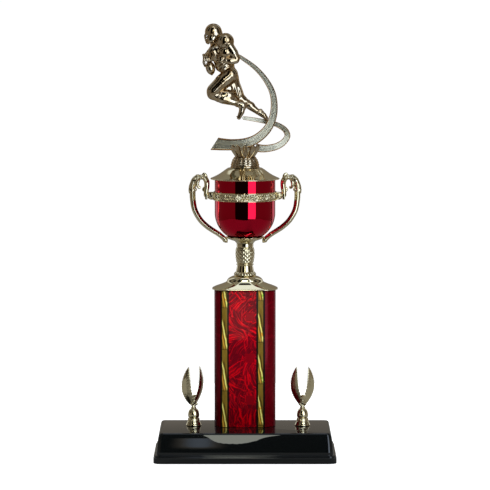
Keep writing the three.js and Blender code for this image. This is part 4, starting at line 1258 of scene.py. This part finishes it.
def sculpt_rear_leg(clay):
    clay.line([(-19.0, 6.8, 488.0), (-13.4, 7.0, 474.6), (-6.8, 7.2, 462.6)], (10.2, 9.2, 7.0), 2)
    clay.egg((-15.6, 6.6, 490.0), (7.2, 8.0, 7.2), 2.5)
    clay.egg((-9.4, 4.4, 469.5), (6.4, 5.6, 8.0), 2.5)
    clay.egg((-3.4, 7.2, 460.6), (5.6, 5.6, 6.0), 1.6)
    clay.line([(-2.4, 7.4, 459.4), (8.0, 7.4, 451.4), (19.6, 7.6, 442.8)], (5.6, 4.9, 3.1), 1.4)
    clay.egg((6.4, 7.2, 453.8), (6.0, 4.6, 4.2), 2)
    clay.line([(19.6, 7.6, 443.0), (24.0, 7.6, 440.6), (27.4, 7.6, 436.6)], (3.4, 3.7, 2.5), 0.8)
    clay.egg((20.0, 7.6, 446.4), (2.7, 3.1, 2.7), 0.8)
    clay.ring((16.8, 7.6, 445.0), (1, 0, -0.8), 3.6, 0.6, 0.3)
    clay.ring((2.4, 7.4, 456.0), (1, 0, -0.8), 5.6, 0.45, 0.5)


def sculpt_kit(clay):
    """Jersey hem, belt, boot soles and studs, and the cloth's folds."""
    lean = (-0.45, 0.06, -0.9)
    clay.ring((-24.4, 1.2, 500.2), lean, 10.6, 0.8, 0.6)
    clay.ring((-23.2, 1.2, 498.0), lean, 10.9, 0.4, 0.3, cut=True)
    clay.line([(-10.0, -4.4, 437.4), (-6.0, -4.6, 444.2), (-2.6, -4.8, 449.2)], 0.55, 0.3, flat=(1, 3.6, 1))
    clay.line([(29.6, 7.6, 437.4), (25.0, 7.6, 443.6), (21.8, 7.6, 447.8)], 0.55, 0.3, flat=(1, 3.4, 1))
    for x, y, z in ((-10.8, -4.4, 439.6), (-8.2, -4.5, 443.8), (-0.8, -4.8, 449.4)):
        for side in (-1.4, 1.4):
            clay.line([(x + 1.6, y + side, z), (x, y + side, z - 0.2)], (0.8, 0.6), 0.2)
    clay.folds((-31, -11, 506), 9, (-0.8, 0.2, 1), 5.2, 0.7)
    clay.folds((-37, -10, 516), 9, (1.0, 0.1, 0.4), 5.0, 0.6)
    clay.folds((-24, 12, 506), 10, (-0.3, -0.2, 1), 6.6, 0.5)
    clay.folds((-10, 14, 480), 9, (0.3, 0, 1), 8.0, 0.35)
    clay.folds((-9, -2, 470), 8, (1.0, 0.2, 0.3), 6.4, 0.55)


def make_player(gold):
    clay = Clay(at_axis((-57, -26, 432)), at_axis((33, 25, 549)), PLAYER_CELL)
    clay.pose(at_axis((0, 0, 0)))
    for part in (sculpt_trunk, sculpt_near_arm, sculpt_far_arm, sculpt_front_leg, sculpt_rear_leg,
                 sculpt_kit):
        part(clay)
    clay.egg(BALL, BALL_SOCKET, 0.3, cut=True)
    piece = clay.skin("player")
    finish_piece(piece, "figure", gold, "player_body")


def sculpt_face(clay):
    """A calm, plain face on even proportions, looking out of the helmet."""
    clay.egg((0.2, 0, -0.4), (7.8, 6.3, 8.0), 0)
    clay.egg((2.6, 0, -5.2), (5.4, 4.7, 4.4), 2.5)
    clay.egg((6.3, 0, -8.2), (1.5, 1.9, 1.3), 1.2)
    brow = spline([(6.4, -3.6, 0.3), (7.7, -1.8, 0.9), (8.0, 0, 0.6), (7.7, 1.8, 0.9), (6.4, 3.6, 0.3)], 4)
    clay.line(brow, 0.75, 0.9)
    for side in (-1, 1):
        clay.egg((8.2, side * 2.35, -0.9), (1.5, 1.55, 1.05), 0.7, cut=True)
        clay.egg((6.75, side * 2.35, -0.95), (1.1, 1.25, 1.0), 0.15)
        lid = spline([(7.3, side * 1.15, -0.95), (7.9, side * 2.3, -0.25), (7.0, side * 3.5, -0.85)], 4)
        clay.line(lid, 0.27, 0.12)
        under = spline([(7.3, side * 1.15, -0.95), (7.6, side * 2.3, -1.6), (6.9, side * 3.5, -0.95)], 4)
        clay.line(under, 0.22, 0.12)
        clay.egg((5.8, side * 3.4, -3.2), (1.7, 1.7, 1.8), 1.6)
        clay.egg((8.1, side * 0.85, -3.75), (0.75, 0.6, 0.55), 0.35)
        clay.egg((0.2, side * 6.3, -1.8), (1.4, 0.7, 2.0), 0.4)
    clay.line([(7.6, 0, 0.0), (8.6, 0, -2.2), (9.25, 0, -3.5)], (0.55, 0.7, 0.85), 0.6)
    upper_lip = spline([(7.0, -1.75, -5.55), (7.8, -0.6, -5.25), (7.75, 0, -5.35), (7.8, 0.6, -5.25),
                        (7.0, 1.75, -5.55)], 4)
    clay.line(upper_lip, 0.38, 0.3)
    clay.line(spline([(7.0, -1.6, -5.75), (7.7, 0, -6.25), (7.0, 1.6, -5.75)], 4), 0.45, 0.3)
    clay.line([(7.7, -1.7, -5.7), (8.1, 0, -5.75), (7.7, 1.7, -5.7)], 0.17, 0.15, cut=True)


GUARD_WIRES = ((-3.2, 12.4, 0.0), (-5.6, 12.9, -0.4), (-8.0, 12.6, -0.8), (-10.0, 11.2, -1.2))


def sculpt_guard(clay):
    """Four wires across the face, each with its height, its reach and how far it droops in front, two
    wires down it, a third round the top, and the chin cup."""
    for height, reach, droop in GUARD_WIRES:
        wire = spline([(4.8, -8.2, height), (9.6, -6.4, height + droop / 2), (reach, -2.4, height + droop),
                       (reach, 2.4, height + droop), (9.6, 6.4, height + droop / 2), (4.8, 8.2, height)], 5)
        clay.line(wire, 1.05, 0.2)
    for y in (-2.4, 2.4):
        upright = [(9.6, y, 2.0), (12.0, y, -0.4), (12.9, y, -3.6), (12.7, y, -7.0), (11.2, y, -10.6)]
        clay.line(upright, 1.0, 0.4)
    brim = [(8.0, -5.6, 0.4), (10.8, -4.2, -0.9), (12.3, 0, -1.2), (10.8, 4.2, -0.9), (8.0, 5.6, 0.4)]
    clay.line(brim, 0.9, 0.4)
    clay.egg((11.4, 0, -8.8), (2.8, 5.0, 3.4), 1.0)


def make_helmet(gold):
    """Helmet with a ridge, ear holes, jaw flaps and a wire guard, and the head inside it."""
    nod = math.radians(HEAD_NOD)
    forward = (-math.cos(nod), 0, -math.sin(nod))
    clay = Clay(at_axis((-55, -13, 529)), at_axis((-28, 13, 558.8)), HEAD_CELL)
    clay.pose(at_axis(HELMET), forward)
    clay.egg((0, 0, 0), (10.9, 10.1, 10.8), 0)
    clay.egg((-1.4, 0, -5.4), (8.9, 9.2, 6.6), 2.0)
    for side in (-1, 1):
        clay.egg((4.8, side * 6.9, -6.8), (5.6, 2.8, 5.4), 1.4)
    clay.egg((1.0, 0, -1.2), (9.0, 8.0, 9.0), 0.3, cut=True)
    clay.slab((10.5, 0, -5.0), (6.6, 6.3, 6.6), 2.6, 0.5, cut=True)
    clay.slab((3.0, 0, -15.5), (12.0, 6.6, 6.0), 2.0, 0.5, cut=True)
    edge = spline([(5.6, -6.6, -9.8), (6.4, -6.8, -4.0), (8.0, -5.6, 0.8), (9.3, 0, 2.2),
                   (8.0, 5.6, 0.8), (6.4, 6.8, -4.0), (5.6, 6.6, -9.8)], 5)
    clay.line(edge, 0.62, 0.4)
    sculpt_face(clay)
    for side in (-1, 1):
        clay.egg((1.4, side * 9.8, -2.6), (1.5, 1.6, 1.5), 0.3, cut=True)
        clay.ring((1.4, side * 9.6, -2.6), (0, 1, 0), 1.9, 0.35, 0.4)
        clay.egg((7.4, side * 6.4, -7.6), (4.4, 2.0, 4.6), 1.0)
    sculpt_guard(clay)
    clay.line([(0.4, 0, -7), (-1.6, 0, -11.5)], (5.0, 4.8), 1.5)
    piece = clay.skin("helmet_and_head")
    finish_piece(piece, "figure", gold, "player_helmet")


BALL_R, BALL_HALF, BALL_TILT = 6.05, 8.8, 0.22
SEAM_R = 6.15
LACED_SEAM = 1.25  # bearing of the seam with the laces, in half turns
BALL_CELL = 0.3


def make_ball(gold):
    """Pointed ball with its seams and a row of laces."""
    low, high = span("player_ball")
    forward = (math.cos(BALL_TILT), 0, math.sin(BALL_TILT))
    upward = (-math.sin(BALL_TILT), 0, math.cos(BALL_TILT))
    clay = Clay(low - 1, high + 1, BALL_CELL)
    clay.pose((low + high) / 2, forward, upward)
    clay.egg((0, 0, 0), (BALL_R, BALL_R, BALL_HALF), 0)
    for end in (-1, 1):
        clay.line([(0, 0, 7 * end), (0, 0, 9.1 * end)], (2.2, 0.7), 2.0)
    for turn in (0.25, 0.75, LACED_SEAM, 1.75):
        c, s = math.cos(turn * math.pi), math.sin(turn * math.pi)
        seam = [(SEAM_R * c * math.cos(a), SEAM_R * s * math.cos(a), (BALL_HALF + 0.1) * math.sin(a))
                for a in np.linspace(-1.35, 1.35, 15)]
        clay.line(seam, 0.26, 0.2, cut=True)
    c, s = math.cos(LACED_SEAM * math.pi), math.sin(LACED_SEAM * math.pi)
    clay.line([(6.0 * c, 6.0 * s, -3.2), (6.2 * c, 6.2 * s, 0), (6.0 * c, 6.0 * s, 3.2)], 0.42, 0.2)
    for z in np.linspace(-2.6, 2.6, 5):
        r = SEAM_R * math.sqrt(1 - (z / BALL_HALF) ** 2)
        clay.line([(r * c - 1.3 * s, r * s + 1.3 * c, z), (r * c + 1.3 * s, r * s - 1.3 * c, z)], 0.36, 0.2)
    piece = clay.skin("game_ball")
    finish_piece(piece, "figure", gold, "player_ball")


# ------------------------------------------------------------------ eagle trims

EAGLE_CELL = 0.3
EAGLE_TURN = {"left": 0.44, "right": 0.0}  # radians that each has been screwed past facing the front
EAGLE_FOOT = (
    (9.8, 0), (10.15, 0.2), (10.2, 0.7), (10.0, 1.3), (9.4, 2.3), (8.8, 3.8), (8.5, 4.6), (8.55, 5.2),
    (7.9, 6.0), (7.5, 8.0), (7.3, 9.2), (6.5, 10.0), (6.4, 10.4), (7.2, 11.1), (7.4, 12.4),
    (7.35, 14.6), (6.95, 17.2), (6.1, 19.4), (4.7, 21.1), (3.4, 22.0))
SCREW_R, SCREW_DEPTH = 2.2, 14.6
WING = (
    (2.2, 0.6, 28.4), (4.6, 0.9, 33.4), (7.4, 0.9, 39.6), (9.6, 0.6, 46.4), (10.5, 0.2, 53.0),
    (10.5, -0.5, 60.4), (9.6, -1.1, 68.0), (8.0, -1.6, 75.6))
WING_SWEEP = 0.72  # how far back a wing's outer edge lies for each millimetre that it lies out


def make_eagle_bell(side, gold):
    low, high = span(f"eagle_{side}_bell")
    centre = (low + high) / 2
    z0 = low[2]
    outer = raised(EAGLE_FOOT + ((2.0, high[2] - z0),), z0, 6)
    hole = [(0.3, high[2]), (0.3, z0 + SCREW_DEPTH), (SCREW_R, z0 + SCREW_DEPTH), (SCREW_R, z0)]
    profile = np.vstack([[(SCREW_R, z0)], outer, hole])

    def flutes(angle, radius, height):
        up = height - z0
        return 0.16 * np.cos(16 * angle) * bead(up, 5.4, 10.0) * (radius > 6), 0 * up

    piece = revolved(f"eagle_{side}_foot", profile, 144, flutes, centre)
    finish_piece(piece, f"eagle_{side}", gold, f"eagle_{side}_bell")


def wave(turns):
    """Goes from one to nothing and back with each turn."""
    return 0.5 + 0.5 * np.cos(2 * math.pi * turns)


def sculpt_wing(clay, side):
    """A raised wing for one side, swept back at its outer edge, with its feathers in two rows."""
    path = spline([(side * x, y, z) for x, y, z in WING], 4)
    t = np.linspace(0, 1, len(path))
    half = 0.5 + 4.9 * np.sin(math.pi * np.minimum(1, 0.14 + t * 0.86)) ** 0.75
    where, p = clay.around(path, 9)
    best = np.full(p.shape[:-1], 1e3, np.float32)
    for k in range(len(path) - 1):
        a, b = path[k], path[k + 1]
        along = (b - a)[[0, 2]]
        length = np.linalg.norm(along)
        along = along / length
        q = p[..., [0, 2]] - a[[0, 2]]
        s = np.clip(q @ along / length, 0, 1)
        down = q @ along - s * length
        out = q @ np.array([along[1], -along[0]]) * side
        width = half[k] + (half[k + 1] - half[k]) * s
        run = t[k] + (t[k + 1] - t[k]) * s
        middle = a[1] + (b[1] - a[1]) * s + WING_SWEEP * out
        depth = (p[..., 1] - middle) * math.cos(math.atan(WING_SWEEP))
        small = 0.13 * wave(run * 26 - out * 0.16)
        quills = 0.12 * wave(out / 1.3 + run * 2.2)
        thick = 1.15 - 0.4 * run + np.where(out < width * 0.1, small, quills)
        notch = 0.8 * wave(run * 11) * np.clip(-out / width, 0, 1) * (run < 0.5)
        notch = notch + 0.3 * wave(run * 16) * np.clip(out / width, 0, 1)
        near = np.sqrt((out / np.maximum(width - notch, 0.3)) ** 2 + (depth / thick) ** 2 + down**2)
        best = np.minimum(best, (near - 1) * thick)
    clay.merge(where, best, 0.5, False)


def make_eagle_bird(side, gold):
    low, high = span(f"eagle_{side}_bird")
    foot_low, foot_high = span(f"eagle_{side}_bell")
    centre = (foot_low + foot_high) / 2
    centre[2] = foot_low[2]
    turn = EAGLE_TURN[side]
    reach = np.array([2.0, 5.0, 1.0])
    clay = Clay(low - reach, high + reach, EAGLE_CELL)
    clay.pose(centre, (math.cos(turn), math.sin(turn), 0))
    clay.line([(0, 0, 23.0), (0, 0, 24.4)], (3.6, 2.4), 0)
    for sign in (-1, 1):
        clay.line([(sign * 3.4, -1.0, 27.2), (sign * 1.6, -0.4, 25.4), (0, 0, 24.0)], (1.0, 1.2, 1.6), 0.5)
        clay.egg((sign * 3.5, -1.2, 27.6), (1.7, 1.7, 1.7), 0.3)
        clay.line([(sign * 1.3, 0, 25), (sign * 1.5, 0, 29.6)], (1.3, 1.9), 0.8)
        sculpt_wing(clay, sign)
    clay.egg((0, 0.4, 31.4), (2.8, 2.8, 5.2), 1.0)
    clay.egg((0, 1.2, 26.6), (2.2, 1.2, 3.4), 0.8)
    clay.line([(0, -0.2, 34.4), (0.2, -1.0, 37.4)], (2.5, 2.1), 0.8)
    clay.egg((0.3, -1.5, 38.2), (2.0, 2.4, 1.9), 0.5)
    beak = spline([(0.4, -3.2, 38.3), (0.5, -4.4, 37.9), (0.5, -4.9, 36.7)], 4)
    clay.line(beak, np.linspace(1.0, 0.35, len(beak)), 0.3)
    for sign in (-1, 1):
        clay.egg((0.3 + sign * 1.6, -2.5, 38.6), (0.4, 0.45, 0.4), 0.15, cut=True)
    where, p = clay.around([(0, 0, 31)], 7)
    x, y, z = p[..., 0], p[..., 1], p[..., 2]
    breast = np.sin(z * 3.1 + np.abs(x) * 1.2) * np.cos(np.arctan2(x, -y) * 7)
    clay.field[where] += 0.16 * breast * np.exp(-((z - 31.5) / 4.5) ** 2) * (np.abs(x) < 4)
    piece = clay.skin(f"eagle_{side}_wings")
    finish_piece(piece, f"eagle_{side}", gold, f"eagle_{side}_bird")


# ------------------------------------------------------------------ fasteners

STEEL_NODES = ("base_washer", "base_nut", "tie_rod", "lid_washer", "lid_nut", "figure_insert",
               "eagle_left_washer", "eagle_left_screw", "eagle_right_washer", "eagle_right_screw")


def repaint(node, material):
    """Sets the material of a CAD node that is shown just as it comes."""
    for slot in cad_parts[node].material_slots:
        slot.material = material


make_camera()
make_studio()
make_lamps()
make_floor()

plate = gold_plate()
aged = dark_gold()
satin = satin_gold()
make_base(black_plastic())
make_column(foil_wrap())
make_cap(plate)
make_stem(plate)
make_petals(plate)
make_cup(red_plate())
make_band(plate)
make_lid(plate)
make_handles(plate)
make_crown(aged)
make_ribbons(satin)
make_player(aged)
make_helmet(aged)
make_ball(aged)
for which in ("left", "right"):
    make_eagle_bell(which, plate)
    make_eagle_bird(which, plate)

zinc = steel()
for fastener in STEEL_NODES:
    repaint(fastener, zinc)
repaint("base_weight", ballast())

bpy.context.scene.view_settings.view_transform = "Standard"
